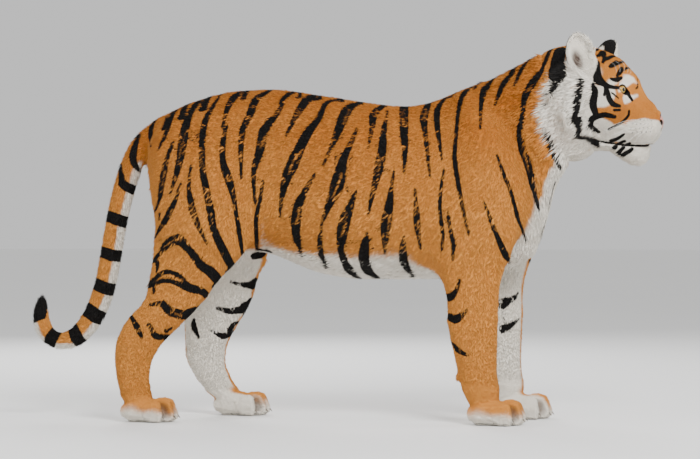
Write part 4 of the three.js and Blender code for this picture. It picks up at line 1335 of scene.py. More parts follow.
def whiteness():
    """1 where the coat is white: the belly, the insides of the legs, the throat, the chin and cheeks."""
    drift = 0.12 * waver(surface.co, 0.09) + 0.08 * waver(surface.co, 0.03)
    from_middle = np.abs(py)
    below = step(*BELLY_SLOPE, nz + drift) * step(*BELLY_LEVEL, pz) * on_torso
    breast = BREAST_HALF + BREAST_WIDENING * step(*BREAST_LEVEL, pz)
    facing = nx + drift + BREAST_TILT * step(*BREAST_TILT_LEVEL, pz)
    front = step(*BREAST_SLOPE, facing) * step(breast, breast - BREAST_EDGE, from_middle)
    front *= step(*BREAST_FROM, px) * on_torso
    throat = step(*THROAT_SLOPE, 0.6 * nx - 0.8 * nz + drift) * on_neck
    on_fore = px > FORE_FROM_X
    ham_top = np.where(on_fore, step(*FORE_LEG_TOP, pz), step(*HIND_LEG_TOP, pz))
    on_legs = np.clip(on_hams * ham_top + on_shins + share_of(PAWS, 8), 0, 1)
    armpit = step(*ARMPIT_LEVEL, pz) * step(*ARMPIT_HALF, from_middle) * on_torso
    inward = (py - np.where(on_fore, FORE_LEG_MIDDLE, HIND_LEG_MIDDLE) * side_sign) * -side_sign
    inner_front = step(*INNER_FROM, inward) * step(0.1, 0.4, nx) * step(0.1, 0.2, px)
    inside = np.maximum(step(*INNER_SLOPE, -ny * side_sign + drift), inner_front)
    inside *= on_legs * (1 - share_of(PAWS, PAW_ROUNDS))
    for name in PAWS:
        low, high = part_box(name)
        inward = (py - (low.y + high.y) / 2) / (high.y - low.y) * -side_sign
        inside += step(*INNER_PAW, inward + drift) * share_of((name,), PAW_ROUNDS)
    toes = step(*TOE_LEVEL, pz + 0.1 * drift) * on_paws
    under_tail = step(*TAIL_SLOPE, np.sum(surface.normals * tail_below, axis=1) + drift) * on_tail
    trunk = np.clip(np.maximum.reduce([below, front, armpit]) + inside, 0, 1)
    found = np.maximum.reduce([trunk, throat, toes, under_tail])
    marks = white_marks.depth([Vector(p) for p in surface.co], reach=MARK_REACH, around=8) / MM
    marks = step(*MARK_EDGE, marks + MARK_DRIFT * waver(surface.co, 0.016))
    near_head = np.clip(on_face + on_ruff, 0, 1)
    found = found * (1 - on_face) + np.maximum(marks, found * (1 - on_face)) * near_head
    found = np.maximum(found, marks * on_neck)
    return np.clip(np.maximum(found, step(0.3, 0.7, on_jaw)), 0, 1) * (1 - on_ears)


BRIGHT_LEVEL = (0.98, 0.50)
BRIGHT_BODY, BRIGHT_FACE = 0.75, 0.3


def brightness():
    """How light the orange is at each vertex: deep along the back, light low on the flanks and legs."""
    light = step(*BRIGHT_LEVEL, pz + 0.05 * waver(surface.co, 0.2)) * (1 - on_face)
    return light * BRIGHT_BODY + BRIGHT_FACE * on_face + 0.12 * waver(surface.co, 0.05)


# The parts of the ears: black backs with a white spot, a bowl whose pit is darkened as painted shade, and a
# fringe at its edge.
# Sizes are in an ear's own millimetres.
SPOT_RADIUS, SPOT_UP = (20, 12), 8
EAR_RIM = (45, 66)
BOWL_SIZE = (34, 45, 66)
PIT_SIZE, PIT_OUT, PIT_DOWN = (26, 42), 10, 14
ear_back, ear_spot, ear_fringe, shaded_ear_pit, ear_bowl = (np.zeros(len(surface.co)) for _ in range(5))
for side in EAR_POSES:
    own = ear_places(side, surface.co)
    mine = share_of((f"{side}_ear",), 1)
    outward = surface.normals @ unit(np.array(ear_matrix(side))[:3, :1].T)[0]
    back = step(0.15, -0.15, outward) * mine
    ear_back = np.maximum(ear_back, back)
    ear_spot = np.maximum(ear_spot, back * step(*SPOT_RADIUS, np.hypot(own[:, 1], own[:, 2] - SPOT_UP)))
    from_edge = np.hypot(own[:, 1] / EAR_RIM[0], own[:, 2] / EAR_RIM[1])
    inward = own[:, 1] * -SIDES[side]
    fringe = step(0.62, 0.9, from_edge) * step(-20, 25, inward) + step(-5, -35, own[:, 2])
    ear_fringe = np.maximum(ear_fringe, np.clip(fringe, 0, 1) * mine * (1 - back))
    in_bowl = step(1.2, 1.0, np.linalg.norm(own / BOWL_SIZE, axis=1)) * (1 - back)
    ear_bowl = np.maximum(ear_bowl, in_bowl)
    # Each ear's pit, whose skin and fur are darkened as painted shade of the hollow.
    sideways, upward = own[:, 1] - PIT_OUT * SIDES[side], own[:, 2] + PIT_DOWN
    pit = step(1, 0.2, np.hypot(sideways / PIT_SIZE[0], upward / PIT_SIZE[1]))
    shaded_ear_pit = np.maximum(shaded_ear_pit, pit * in_bowl)
ear_inside = np.clip(on_ears - ear_back, 0, 1)


# Lengths of the fur, in mm: on the body, and how much longer or shorter it is elsewhere.
BODY_FUR = 15
LONGER = {"belly": 13, "breast": 6, "neck": 7, "tail": 3, "ruff": 34}
SHORTER = {"shins": 4, "paws": 8.5}
FACE_FUR, CROWN_LONGER, CHIN_LONGER = 5.5, 5, 9
EAR_FUR, FRINGE_LONGER = 8, 16


def length_of_the_coat():
    """How long the fur is at each vertex, in metres."""
    total = BODY_FUR * np.ones(len(surface.co))
    from_legs = 1 - np.clip(2.2 * on_hams, 0, 1)
    downward = step(-0.3, -0.8, nz) * from_legs
    total += on_torso * (LONGER["belly"] * downward + LONGER["breast"] * step(0.3, 0.8, nx))
    total += on_neck * LONGER["neck"] * (1 - on_face)
    total -= SHORTER["shins"] * on_shins + SHORTER["paws"] * share_of(PAWS, 16)
    total += LONGER["tail"] * on_tail
    short = FACE_FUR + CROWN_LONGER * step(880, 700, head_xyz[:, 0])
    short += CHIN_LONGER * on_jaw * step(-0.1, -0.7, nz)
    total = total * (1 - on_face) + short * on_face
    total = total * (1 - on_ears) + (EAR_FUR + FRINGE_LONGER * ear_fringe) * on_ears
    total += on_ruff * LONGER["ruff"] * step(790, 700, head_xyz[:, 0])
    return surface.diffused(total, 3) * MM


lie = lie_of_the_coat()
white = whiteness()
white = np.clip(white + ear_spot + ear_inside + ear_bowl, 0, 1)
bright = brightness()
hair = length_of_the_coat()
soles = step(-0.5, -0.8, nz) * step(12 * MM, 5 * MM, pz)
SHARE_TO_INK = 20  # turns a share of black into mm inside a stripe
skin_stripe = np.maximum(stripe_depth(surface.co) / MM, SHARE_TO_INK * (ear_back * (1 - ear_spot) - 0.5))
put(skin.data, "stripe", np.maximum(skin_stripe, SHARE_TO_INK * (soles - 0.5)))
put(skin.data, "white", white)
put(skin.data, "bright", bright)
# The pits of the ears: fewer tufts, and skin and fur darkened there as painted shade of the hollow.
put(skin.data, "bare_pit_shade", shaded_ear_pit)
shade = np.maximum(toe_shade, shaded_ear_pit)
put(skin.data, "shade", shade)

# ---- coat -----------------------------------------------------------------------------------------------
# Layers of fur over every point. Fewer cover the paws, whose tufts are the smallest.
COVER = {"head": 1.75, "body": 1.72, "belly": 2.0, "paws": 0.85, "ruff": 6.0}
LONG_HAIR = 24 * MM
TUFT_SUNK = 1.2 * MM
PATCH = 0.0015  # half the width of a tuft's patch on the map
LID_CLEAR = 2.6  # bare edge of the lids, in mm
LID_FUR, LID_FUR_REACH = 0.4, 22  # the share of its length at the lids, and where it is full, in mm
FAR_FROM_EYE = 60.0
LIP_CLEAR = 2.4
PAD_CLEAR = -3.5
PIT_THINNING = 0.6  # the share of the tufts that the pit of an ear goes without, where it is also darkened as painted shade
ALONG = (0.1, 0.45, 0.9)  # how far along a tuft its colour is asked for
RING_WIDTHS = (1.0, 1.1, 0.8)  # of a tuft, from its root
LIFTS = (9, 24)  # how far tufts stand off the skin, in degrees
FLAT_LENGTHS, FLATTENING = (18 * MM, 40 * MM), 0.72  # long fur lies flatter


def width_of(length):
    """How wide a tuft of a length is: in step with short ones, and slower with long ones."""
    return np.minimum(0.17 * length + 0.5 * MM, 0.012 * length + 2.6 * MM)


def scatter(chosen, cover, seed):
    """Roots for tufts on the chosen faces, spread so that every place has the same cover."""
    draw = np.random.default_rng(seed)
    faces = np.flatnonzero(chosen)
    length = hair[surface.tris[faces]].mean(1)
    wanted = surface.areas[faces] * cover / (0.5 * length * width_of(length))
    ladder = np.cumsum(wanted)
    count = int(ladder[-1])
    picks = (np.arange(count) + draw.random(count)) / count * ladder[-1]
    face = faces[np.minimum(np.searchsorted(ladder, picks), len(faces) - 1)]
    a, b = draw.random((2, count))
    over = a + b > 1
    a[over], b[over] = 1 - a[over], 1 - b[over]
    return face, np.stack([1 - a - b, a, b], axis=1), draw


def at_roots(values, face, share):
    corners = values[surface.tris[face]]
    if corners.ndim == 2:
        return np.sum(corners * share, axis=1)
    return np.sum(corners * share[:, :, None], axis=1)


def over_skin(places, ring):
    """Lays the later rings of a long tuft back on the skin, so that it bends with the body."""
    if ring == 0:
        return places
    return np.array([skin_tree.find_nearest(Vector(p))[0] for p in places])


def clear_of_bare_skin(face, share, root, draw):
    """Leaves out roots on the lids, lips and nose, and most of those in the pits of the ears, which are
    darkened as painted shade.

    It also gives how far the others are from an eye's opening, in mm.
    """
    from_eye = np.minimum(*(beyond_almond(root, side) for side in SIDES))
    local = head_places(root)
    gap, surely = mouth_gap(local)
    kept = (from_eye > LID_CLEAR) & ((np.abs(gap + 1) > LIP_CLEAR) | (surely < 0.5))
    kept &= beyond_pad(local) > PAD_CLEAR
    kept &= draw.random(len(root)) > PIT_THINNING * at_roots(shaded_ear_pit, face, share)
    return face[kept], share[kept], root[kept], from_eye[kept]


def tuft_corners(face, share, root, from_eye, draw, sections):
    """The corners of each tuft, ring by ring and then its tip, and how far it reaches along the skin."""
    count = len(root)
    normal = unit(at_roots(surface.normals, face, share))
    along = at_roots(lie, face, share) + draw.normal(0, 0.1, (count, 3))
    along = unit(along - normal * np.sum(along * normal, axis=1)[:, None])
    across = np.cross(normal, along)
    length = at_roots(hair, face, share) * draw.uniform(0.75, 1.2, count)
    length *= LID_FUR + (1 - LID_FUR) * step(0, LID_FUR_REACH, from_eye)
    half = width_of(length) / 2 * draw.uniform(0.8, 1.2, count)
    lift = np.radians(draw.uniform(*LIFTS, count)) * (1 - FLATTENING * step(*FLAT_LENGTHS, length))
    reach = along * (length * np.cos(lift))[:, None]
    rings = []
    for ring in range(sections):
        run = ring / sections
        full = RING_WIDTHS[ring]
        middle = over_skin(root + along * (length * np.cos(lift) * run)[:, None], ring)
        middle += normal * (length * np.sin(lift) * run)[:, None]
        sunk = TUFT_SUNK if ring == 0 else (0.12 * half)[:, None]
        wide = across * (half * full)[:, None]
        low = middle - normal * sunk
        rings += [low - wide, low + wide, middle + normal * (0.45 * half * full)[:, None]]
    tip = over_skin(root + reach, sections - 1)
    tip += normal * (length * np.sin(lift))[:, None]
    return np.stack([*rings, tip], axis=1), reach


def tuft_faces(sections):
    """The triangles of one tuft: its root, its sides from ring to ring, and its tip."""
    faces = [(0, 2, 1)]
    for ring in range(sections - 1):
        a, b, c, d, e, f = (3 * ring + i for i in range(6))
        faces += [(a, b, e), (a, e, d), (b, c, f), (b, f, e), (c, a, d), (c, d, f)]
    a, b, c, tip = (3 * (sections - 1) + i for i in range(4))
    return np.array(faces + [(a, b, tip), (b, c, tip), (c, a, tip)])


def triangle_mesh(name, places, triangles):
    mesh = bpy.data.meshes.new(name)
    mesh.vertices.add(len(places))
    mesh.vertices.foreach_set("co", places.astype(np.float32).ravel())
    mesh.loops.add(triangles.size)
    mesh.loops.foreach_set("vertex_index", triangles.astype(np.int32).ravel())
    mesh.polygons.add(len(triangles))
    mesh.polygons.foreach_set("loop_start", np.arange(0, triangles.size, 3, dtype=np.int32))
    mesh.polygons.foreach_set("use_smooth", np.ones(len(triangles), bool))
    mesh.update(calc_edges=True)
    return mesh


def map_tufts(mesh, face, share, triangles, sections):
    """Gives every tuft a small patch of the map, at the place of its root on the skin."""
    spot = np.sum(skin_uv[face] * share[:, :, None], axis=1)
    offsets = np.zeros((3 * sections + 1, 2))
    for ring in range(sections):
        offsets[3 * ring : 3 * ring + 3, 0] = (-1, 1, 0)
        offsets[3 * ring : 3 * ring + 3, 1] = 2 * ring / sections - 1
    offsets[-1] = (0, 1)
    uv = np.clip(spot[:, None, :] + PATCH * offsets[None], 0, 1).reshape(-1, 2)
    layer = mesh.uv_layers.new(name=BAKE_MAP)
    layer.data.foreach_set("uv", uv[triangles.ravel()].astype(np.float32).ravel())


def colour_tufts(mesh, face, share, root, reach, draw, sections):
    """Asks the strokes for the colour along every tuft, and the skin for how white and bright it is."""
    count, each = len(root), 3 * sections + 1
    jitter = draw.normal(0, 0.5, count)
    first, middle, last = (stripe_depth(root + reach * far) / MM + jitter for far in ALONG)
    thin = (middle - first) * (middle - last) > 0  # it crosses a thin stripe or a thin gap
    start_ink = np.where(thin, middle, first)
    end_ink = np.where(thin, middle, last)
    backs = at_roots(ear_back, face, share) * (1 - at_roots(ear_spot, face, share))
    backs = SHARE_TO_INK * (backs - 0.5) + draw.normal(0, 1, count)
    pale = np.clip(at_roots(white, face, share) + draw.normal(0, 0.07, count), 0, 1)
    tone = 0.08 + 0.3 * draw.random(count) + at_roots(bright, face, share)
    share_along = np.append(np.repeat(np.arange(sections) / sections, 3), 1.0)
    ink = start_ink[:, None] + (end_ink - start_ink)[:, None] * share_along
    put(mesh, "stripe", np.maximum(ink, backs[:, None]).ravel())
    put(mesh, "white", np.repeat(step(0.2, 0.8, pale), each))
    put(mesh, "bright", np.repeat(tone, each))
    put(mesh, "run", np.tile(share_along, count))
    put(mesh, "shade", np.repeat(at_roots(shade, face, share), each))


def grow(name, chosen, cover, seed, sections):
    """One piece of the coat: solid, three-sided, tapered tufts that lie along the body."""
    face, share, draw = scatter(chosen, COVER[cover], seed)
    root = at_roots(surface.co, face, share)
    from_eye = np.full(len(root), FAR_FROM_EYE)
    if cover == "head":
        face, share, root, from_eye = clear_of_bare_skin(face, share, root, draw)
    corners, reach = tuft_corners(face, share, root, from_eye, draw, sections)
    count, each = corners.shape[:2]
    triangles = (np.arange(count)[:, None, None] * each + tuft_faces(sections)).reshape(-1, 3)
    mesh = triangle_mesh(name, corners.reshape(-1, 3), triangles)
    map_tufts(mesh, face, share, triangles, sections)
    colour_tufts(mesh, face, share, root, reach, draw, sections)
    print(name, len(triangles))
    return linked(name, mesh)


def owned_by(names):
    indices = [FLESH.index(name) for name in names]
    return np.isin(region[surface.tris[:, 0]], indices)


FACE_FROM = 800  # the face's coat is ahead of this and the crown's behind it, in mm along the head
face_length = hair[surface.tris].mean(1)
long_faces = face_length > LONG_HAIR
head_faces = owned_by((*FACE_PARTS, *EARS))
front_faces = head_xyz[surface.tris[:, 0], 0] > FACE_FROM
COAT_PARTS = {
    "coat_face": (head_faces & ~long_faces & front_faces, "head", 1),
    "coat_crown": (head_faces & ~long_faces & ~front_faces, "head", 1),
    "coat_ruff": (head_faces & long_faces, "ruff", 3),
    "coat_neck": (owned_by(("neck",)) & ~long_faces, "body", 1),
    "coat_chest": (owned_by(("chest",)) & ~long_faces, "body", 1),
    "coat_loin": (owned_by(("loin",)) & ~long_faces, "body", 1),
    "coat_rump": (owned_by(("rump",)) & ~long_faces, "body", 1),
    "coat_belly": (~head_faces & long_faces, "belly", 2),
    "coat_tail": (owned_by(TAIL) & ~long_faces, "body", 1),
    "coat_paws": (owned_by(PAWS), "paws", 1),
}
for side in SIDES:
    for end, parts in LEG_PARTS.items():
        own_faces = owned_by([f"{side}_{part}" for part in parts if "paw" not in part]) & ~long_faces
        COAT_PARTS[f"coat_{side}_{end}_leg"] = (own_faces, "body", 1)
COAT_SEED = 100  # of the first part, and each of the others has the next
coat = []
for seed, (name, (chosen, cover, sections)) in enumerate(COAT_PARTS.items(), COAT_SEED):
    coat.append(grow(name, chosen, cover, seed, sections))


# ---- eyes, nose, claws and whiskers ---------------------------------------------------------------------
IRIS_REACH = 46.0  # degrees from the middle of the pupil to the edge of the iris
CORNEA_RISE = 1.7 * MM
EYE_SEGMENTS, EYE_RINGS = 64, 60
LID_ROOM = 0.3 * MM  # between the eyeball and the lids


def eye(side):
    """An eyeball with a raised cornea. Its attributes say how far from the pupil and where round it."""
    centre, _, _, gaze = eye_frame(side, GAZE_TURN)
    shape = bmesh.new()
    bmesh.ops.create_uvsphere(shape, u_segments=EYE_SEGMENTS, v_segments=EYE_RINGS, radius=1)
    mesh = bpy.data.meshes.new(f"{side}_eyeball")
    away = []
    spokes = []
    for vert in shape.verts:
        angle = math.degrees(math.acos(max(-1, min(1, vert.co.z))))
        away.append(angle)
        spokes.append((vert.co.x, vert.co.y, 0.02 * angle))
        rise = CORNEA_RISE * max(0, 1 - (angle / IRIS_REACH) ** 2)
        vert.co *= EYE_RADIUS - LID_ROOM + rise
    turn = gaze.to_track_quat("Z", "Y").to_matrix().to_4x4()
    bmesh.ops.transform(shape, matrix=Matrix.Translation(centre) @ turn, verts=shape.verts)
    shape.to_mesh(mesh)
    shape.free()
    put(mesh, "away", np.array(away))
    put(mesh, "spoke", unit(np.array(spokes) * (1, 1, 0)) + np.array(spokes) * (0, 0, 1))
    return linked(f"{side}_eyeball", mesh)


NOSE_VOXEL = 1.1 * MM
PAD_SUNK = 5.0  # how far the pad's edges dip under the fur, in mm
PAD_SIDES, PAD_HALF = 6, 34  # how far back the pad's sides round, and its half width
PAD_CROWN, PAD_CROWN_LEVEL = 7, (893, 921)  # and how far back its top does
PAD_FRONT = (908, 930)
NOSTRIL = np.array((934.0, 18.5, 884.0))
NOSTRIL_SIZE = (20, 9, 9)
NOSTRIL_SLIT = ((934, 20, 884), (930, 26, 888), (924, 31, 895), (917, 34, 902))  # out and up from the nostril
SLIT_DEPTH, SLIT_WIDTH = 5.5, 3.4
WING, WING_SIZE, WING_RISE = (928, 27, 878), (12, 8, 8), 2.5
MIDDLE_DEPTH, MIDDLE_WIDTH, MIDDLE_LEVEL = 2.2, 1.6, (905, 882)  # the groove down the pad


def near_line(places, line):
    """How far places are from a line of points, in mm."""
    dense = spline(line, 1.0)
    return np.min([np.linalg.norm(places - point, axis=1) for point in dense], axis=0)


def nose_pad():
    """The nose's bare skin, made smooth. Its rim attribute is 1 in the nostrils and along its edges."""
    shape = bmesh.new()
    shape.from_mesh(nodes["nose"].data)
    bmesh.ops.remove_doubles(shape, verts=shape.verts, dist=0.01 * MM)
    mesh = bpy.data.meshes.new("nose_pad")
    shape.to_mesh(mesh)
    shape.free()
    made = remeshed(linked("nose_pad", mesh), NOSE_VOXEL)
    pad = Surface(made)
    pad.relax(np.ones(len(pad.co)), 14)
    local = head_places(pad.co)
    folded = folded_over(local)
    middle = folded[:, 1]
    rounded = PAD_SIDES * (middle / PAD_HALF) ** 2.2 + PAD_CROWN * step(*PAD_CROWN_LEVEL, local[:, 2]) ** 1.3
    back = np.array(HEAD.to_3x3() @ Vector((-1, 0, 0))) * MM
    pad.co += back * (rounded * step(*PAD_FRONT, local[:, 0]))[:, None]
    pad.relax(np.ones(len(pad.co)), 6)
    slit = near_line(folded, NOSTRIL_SLIT)
    groove = MIDDLE_DEPTH * np.exp(-((middle / MIDDLE_WIDTH) ** 2)) * step(*MIDDLE_LEVEL, local[:, 2])
    groove += SLIT_DEPTH * np.exp(-((slit / SLIT_WIDTH) ** 2))
    wing = np.linalg.norm((folded - WING) / WING_SIZE, axis=1)
    groove -= WING_RISE * np.exp(-(wing**2))
    outside = beyond_pad(local)
    groove += PAD_SUNK * step(-2.5, 2.5, outside)
    pad.co -= pad.normals * (groove * MM)[:, None]
    pad.relax(np.ones(len(pad.co)), 2)
    pad.write()
    gap = np.linalg.norm((folded - NOSTRIL) / NOSTRIL_SIZE, axis=1)
    rim = np.maximum(step(1.25, 0.85, gap), 0.85 * step(-4.5, -0.5, outside))
    rim = np.maximum.reduce([rim, step(872, 864, local[:, 2]), step(5.5, 3, slit)])
    put(made.data, "rim", rim)
    return made


def tapered(shape, line, radii, sides):
    """Adds a closed round spike that follows a line of points."""
    frames = []
    for i, (place, radius) in enumerate(zip(line, radii)):
        ahead = (line[min(i + 1, len(line) - 1)] - line[max(i - 1, 0)]).normalized()
        turn = ahead.to_track_quat("Z", "Y").to_matrix().to_4x4()
        frames.append(Matrix.Translation(place) @ turn @ Matrix.Scale(radius, 4))
    ring = bmesh.ops.create_circle(shape, cap_ends=True, radius=1, segments=sides, matrix=frames[0])["verts"]
    edges = [edge for edge in ring[0].link_faces[0].edges]
    for before, after in zip(frames, frames[1:]):
        added = bmesh.ops.extrude_edge_only(shape, edges=edges)["geom"]
        edges = [part for part in added if isinstance(part, bmesh.types.BMEdge) and part.is_boundary]
        verts = [part for part in added if isinstance(part, bmesh.types.BMVert)]
        bmesh.ops.transform(shape, matrix=after @ before.inverted(), verts=verts)
    bmesh.ops.contextual_create(shape, geom=edges)


def spikes(name, lines, sides):
    """One piece of many spikes, each given by its points and radii."""
    shape = bmesh.new()
    for line, radii in lines:
        tapered(shape, line, radii, sides)
    bmesh.ops.recalc_face_normals(shape, faces=shape.faces)
    mesh = bpy.data.meshes.new(name)
    shape.to_mesh(mesh)
    shape.free()
    mesh.polygons.foreach_set("use_smooth", np.ones(len(mesh.polygons), bool))
    return linked(name, mesh)


def arc(start, ahead, fall, length, count):
    """Points of a line that starts ahead and bends evenly towards another direction."""
    line = [start]
    for i in range(count - 1):
        share = (i + 0.5) / (count - 1)
        line.append(line[-1] + (ahead.lerp(fall, share)).normalized() * (length / (count - 1)))
    return line


CLAW_RADIUS = 2.9 * MM
CLAW_LENGTH = 19 * MM
CLAW_LEVEL = 21 * MM
CLAW_SUNK = 6 * MM
CLAW_AHEAD, CLAW_FALL = Vector((1, 0, -0.1)), Vector((0.35, 0, -1))
CLAW_POINTS = 7
CLAW_FROM = 0.05  # claws' places are looked for from this far ahead of the paw, in metres


def claw_lines():
    """The tips of sheathed claws at the ends of the toes."""
    found = []
    for name in PAWS:
        low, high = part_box(name)
        for lane in TOE_LANES:
            y = (low.y + high.y) / 2 + lane * (high.y - low.y)
            ahead_of_toe = Vector((high.x + CLAW_FROM, y, CLAW_LEVEL))
            place = skin_tree.ray_cast(ahead_of_toe, Vector((-1, 0, 0)))[0]
            if place is None:
                continue
            start = place - Vector((CLAW_SUNK, 0, 0))
            line = arc(start, CLAW_AHEAD, CLAW_FALL, CLAW_LENGTH, CLAW_POINTS)
            found.append((line, [CLAW_RADIUS * (1 - (i / 6.3) ** 1.6) for i in range(CLAW_POINTS)]))
    return found


WHISKER_LENGTH, WHISKER_GAIN = 55, 95  # of the front ones, and how much longer the back ones are, in mm
WHISKER_RADIUS, WHISKER_POINTS = 0.55 * MM, 8
WHISKER_SEED = 11
BROW_HAIRS = 5
BROW_ROOT, BROW_STEP = Vector((846, 46, 1026)), Vector((-9, 7, 0))  # in the head's own millimetres
BROW_LENGTHS = (38, 62)
BROW_RADIUS, BROW_POINTS = 0.42 * MM, 7


def whisker_lines():
    """Long bent whiskers from the rows of roots, and a few stiff hairs over each eye."""
    draw = np.random.default_rng(WHISKER_SEED)
    found = []
    for side, back, place in WHISKERS:
        sign = SIDES[side]
        length = (WHISKER_LENGTH + WHISKER_GAIN * math.sqrt(back)) * MM * draw.uniform(0.8, 1.15)
        ahead = Vector((0.25 - 0.9 * back, sign, draw.uniform(-0.1, 0.25))).normalized()
        fall = Vector((-0.35 - 0.7 * back, 0.5 * sign, -0.75 + draw.uniform(-0.1, 0.25))).normalized()
        ahead, fall = (HEAD.to_3x3() @ way for way in (ahead, fall))
        line = arc(place - ahead * 2 * MM, ahead, fall, length, WHISKER_POINTS)
        found.append((line, [WHISKER_RADIUS * (1 - i / 7.6) for i in range(WHISKER_POINTS)]))
    for sign in SIDES.values():
        for i in range(BROW_HAIRS):
            x, y, z = BROW_ROOT + BROW_STEP * i
            place = snapped([on_head(x, sign * y, z)])[0]
            ahead = HEAD.to_3x3() @ Vector((0.5 - 0.1 * i, 0.7 * sign, 0.8)).normalized()
            fall = HEAD.to_3x3() @ Vector((-0.5, 0.9 * sign, 0.2)).normalized()
            line = arc(place, ahead, fall, draw.uniform(*BROW_LENGTHS) * MM, BROW_POINTS)
            found.append((line, [BROW_RADIUS * (1 - i / 6.6) for i in range(BROW_POINTS)]))
    return found


eyeballs = [eye(side) for side in SIDES]
nose = nose_pad()
claws = spikes("claws", claw_lines(), 8)
whiskers = spikes("whiskers", whisker_lines(), 5)


# ---- materials ------------------------------------------------------------------------------------------
class Value:
    """A socket in a material, or a plain number. Arithmetic on it adds Math nodes."""

    def __init__(self, tree, socket):
        self.tree = tree
        self.socket = socket

    def math(self, operation, *others):
        node = self.tree.nodes.new("ShaderNodeMath")
        node.operation = operation
        for slot, item in zip(node.inputs, (self, *others)):
            connect(self.tree, slot, item)
        return Value(self.tree, node.outputs[0])

    def __add__(self, other):
        return self.math("ADD", other)

    def __sub__(self, other):
        return self.math("SUBTRACT", other)

    def __mul__(self, other):
        return self.math("MULTIPLY", other)

    def __rsub__(self, other):
        return (self * -1) + other

    __radd__ = __add__
    __rmul__ = __mul__


def connect(tree, slot, item):
    if isinstance(item, Value):
        tree.links.new(item.socket, slot)
    elif isinstance(item, bpy.types.NodeSocket):
        tree.links.new(item, slot)
    else:
        slot.default_value = item


class Material:
    """A material's node tree, with one method for every kind of node."""

    def __init__(self, name, **constants):
        self.data = bpy.data.materials.new(name)
        self.data.use_nodes = True
        self.tree = self.data.node_tree
        self.shader = self.tree.nodes["Principled BSDF"]
        self.constant(**constants)

    def constant(self, **sockets):
        for socket, value in sockets.items():
            self.shader.inputs[socket.replace("_", " ")].default_value = value

    def bump(self, height, strength, distance):
        return self.node("ShaderNodeBump", None, 0, Height=height, Strength=strength, Distance=distance)

    def node(self, kind, settings=None, output=0, **sockets):
        made = self.tree.nodes.new(kind)
        for key, value in (settings or {}).items():
            setattr(made, key, value)
        for key, item in sockets.items():
            slot = made.inputs[int(key[1:])] if key[0] == "i" and key[1:].isdigit() else made.inputs[key]
            connect(self.tree, slot, item)
        return Value(self.tree, made.outputs[output])

    def attribute(self, name, output="Fac"):
        return self.node("ShaderNodeAttribute", {"attribute_name": name}, output)

    def noise(self, scale, detail=3.0, rough=0.5):
        place = self.tree.nodes.new("ShaderNodeTexCoord").outputs["Object"]
        return self.node(
            "ShaderNodeTexNoise", None, 0, Vector=place, Scale=scale, Detail=detail, Roughness=rough
        )

    def blend(self, share, low, high):
        """A colour between two colours."""
        return self.node("ShaderNodeMix", {"data_type": "RGBA"}, 2, i0=share, i6=low, i7=high)

    def ramp(self, value, low, high):
        """0 below low, 1 above high, and smooth between."""
        settings = {"interpolation_type": "SMOOTHSTEP"}
        return self.node(
            "ShaderNodeMapRange", settings, 0, Value=value, **{"From Min": low, "From Max": high}
        )

    def set(self, **sockets):
        for key, item in sockets.items():
            connect(self.tree, self.shader.inputs[key.replace("_", " ")], item)


ORANGE_DEEP = (0.40, 0.112, 0.010, 1)
ORANGE_LIGHT = (0.64, 0.265, 0.050, 1)
CREAM = (0.83, 0.78, 0.69, 1)
BLACK = (0.0075, 0.0065, 0.006, 1)
# Painted shade: the skin's colour in the hollow pits of the ears.
EAR_PIT_SHADE = (0.05, 0.028, 0.022, 1)
SHADED = (0.10, 0.055, 0.035, 1)
NOSE_PINK = (0.52, 0.20, 0.155, 1)
NOSE_PALE = (0.60, 0.26, 0.20, 1)
NOSE_DARK = (0.030, 0.018, 0.015, 1)
IRIS_INNER = (0.50, 0.33, 0.07, 1)
IRIS_OUTER = (0.34, 0.15, 0.02, 1)
IRIS_FIBRE = (0.66, 0.48, 0.15, 1)
PUPIL = (0.002, 0.002, 0.002, 1)
EYE_CORNER = (0.05, 0.025, 0.018, 1)
HORN = (0.20, 0.16, 0.12, 1)
HORN_TIP = (0.05, 0.04, 0.032, 1)
WHISKER_WHITE, WHISKER_CREAM = (0.88, 0.86, 0.82, 1), (0.80, 0.77, 0.70, 1)
FLOOR_PALE, FLOOR_GREY = (0.94, 0.94, 0.93, 1), (0.91, 0.91, 0.90, 1)


def coat_colour(made, dark, white, bright):
    """The coat's colour from how black, how white and how bright it is, with a slow drift of orange, and
    painted shade in the toe grooves and the ears' pits.
    """
    drift = made.noise(3.5, 2.0) * 0.35 + bright
    orange = made.blend(made.ramp(drift, 0.1, 1.15), ORANGE_DEEP, ORANGE_LIGHT)
    pale = made.blend(made.attribute("shade") * 0.75, made.blend(white, orange, CREAM), SHADED)
    return made.blend(dark, pale, BLACK)


def skin_material():
    made = Material("skin", Roughness=0.8)
    made.constant(Specular_IOR_Level=0.15)
    fine = made.noise(260.0, 4.0)
    edge = made.attribute("stripe") + (fine - 0.5) * 3.0
    dark = made.ramp(edge, -0.5, 0.5)
    white = made.ramp(made.attribute("white"), 0.2, 0.8)
    colour = coat_colour(made, dark, white, made.attribute("bright") + fine * 0.4)
    # The pits of the ears are darkened towards a dark brown as painted shade.
    bare_pit_shade = made.attribute("bare_pit_shade") * (1 - dark)
    made.set(Base_Color=made.blend(bare_pit_shade, colour, EAR_PIT_SHADE), Normal=made.bump(fine, 0.5, 0.002))
    return made.data


def coat_material():
    made = Material("coat", Roughness=0.62)
    made.constant(Specular_IOR_Level=0.18)
    bright = made.attribute("bright") + made.attribute("run") * 0.25
    dark = made.ramp(made.attribute("stripe"), -0.7, 0.7)
    made.set(Base_Color=coat_colour(made, dark, made.attribute("white"), bright))
    return made.data


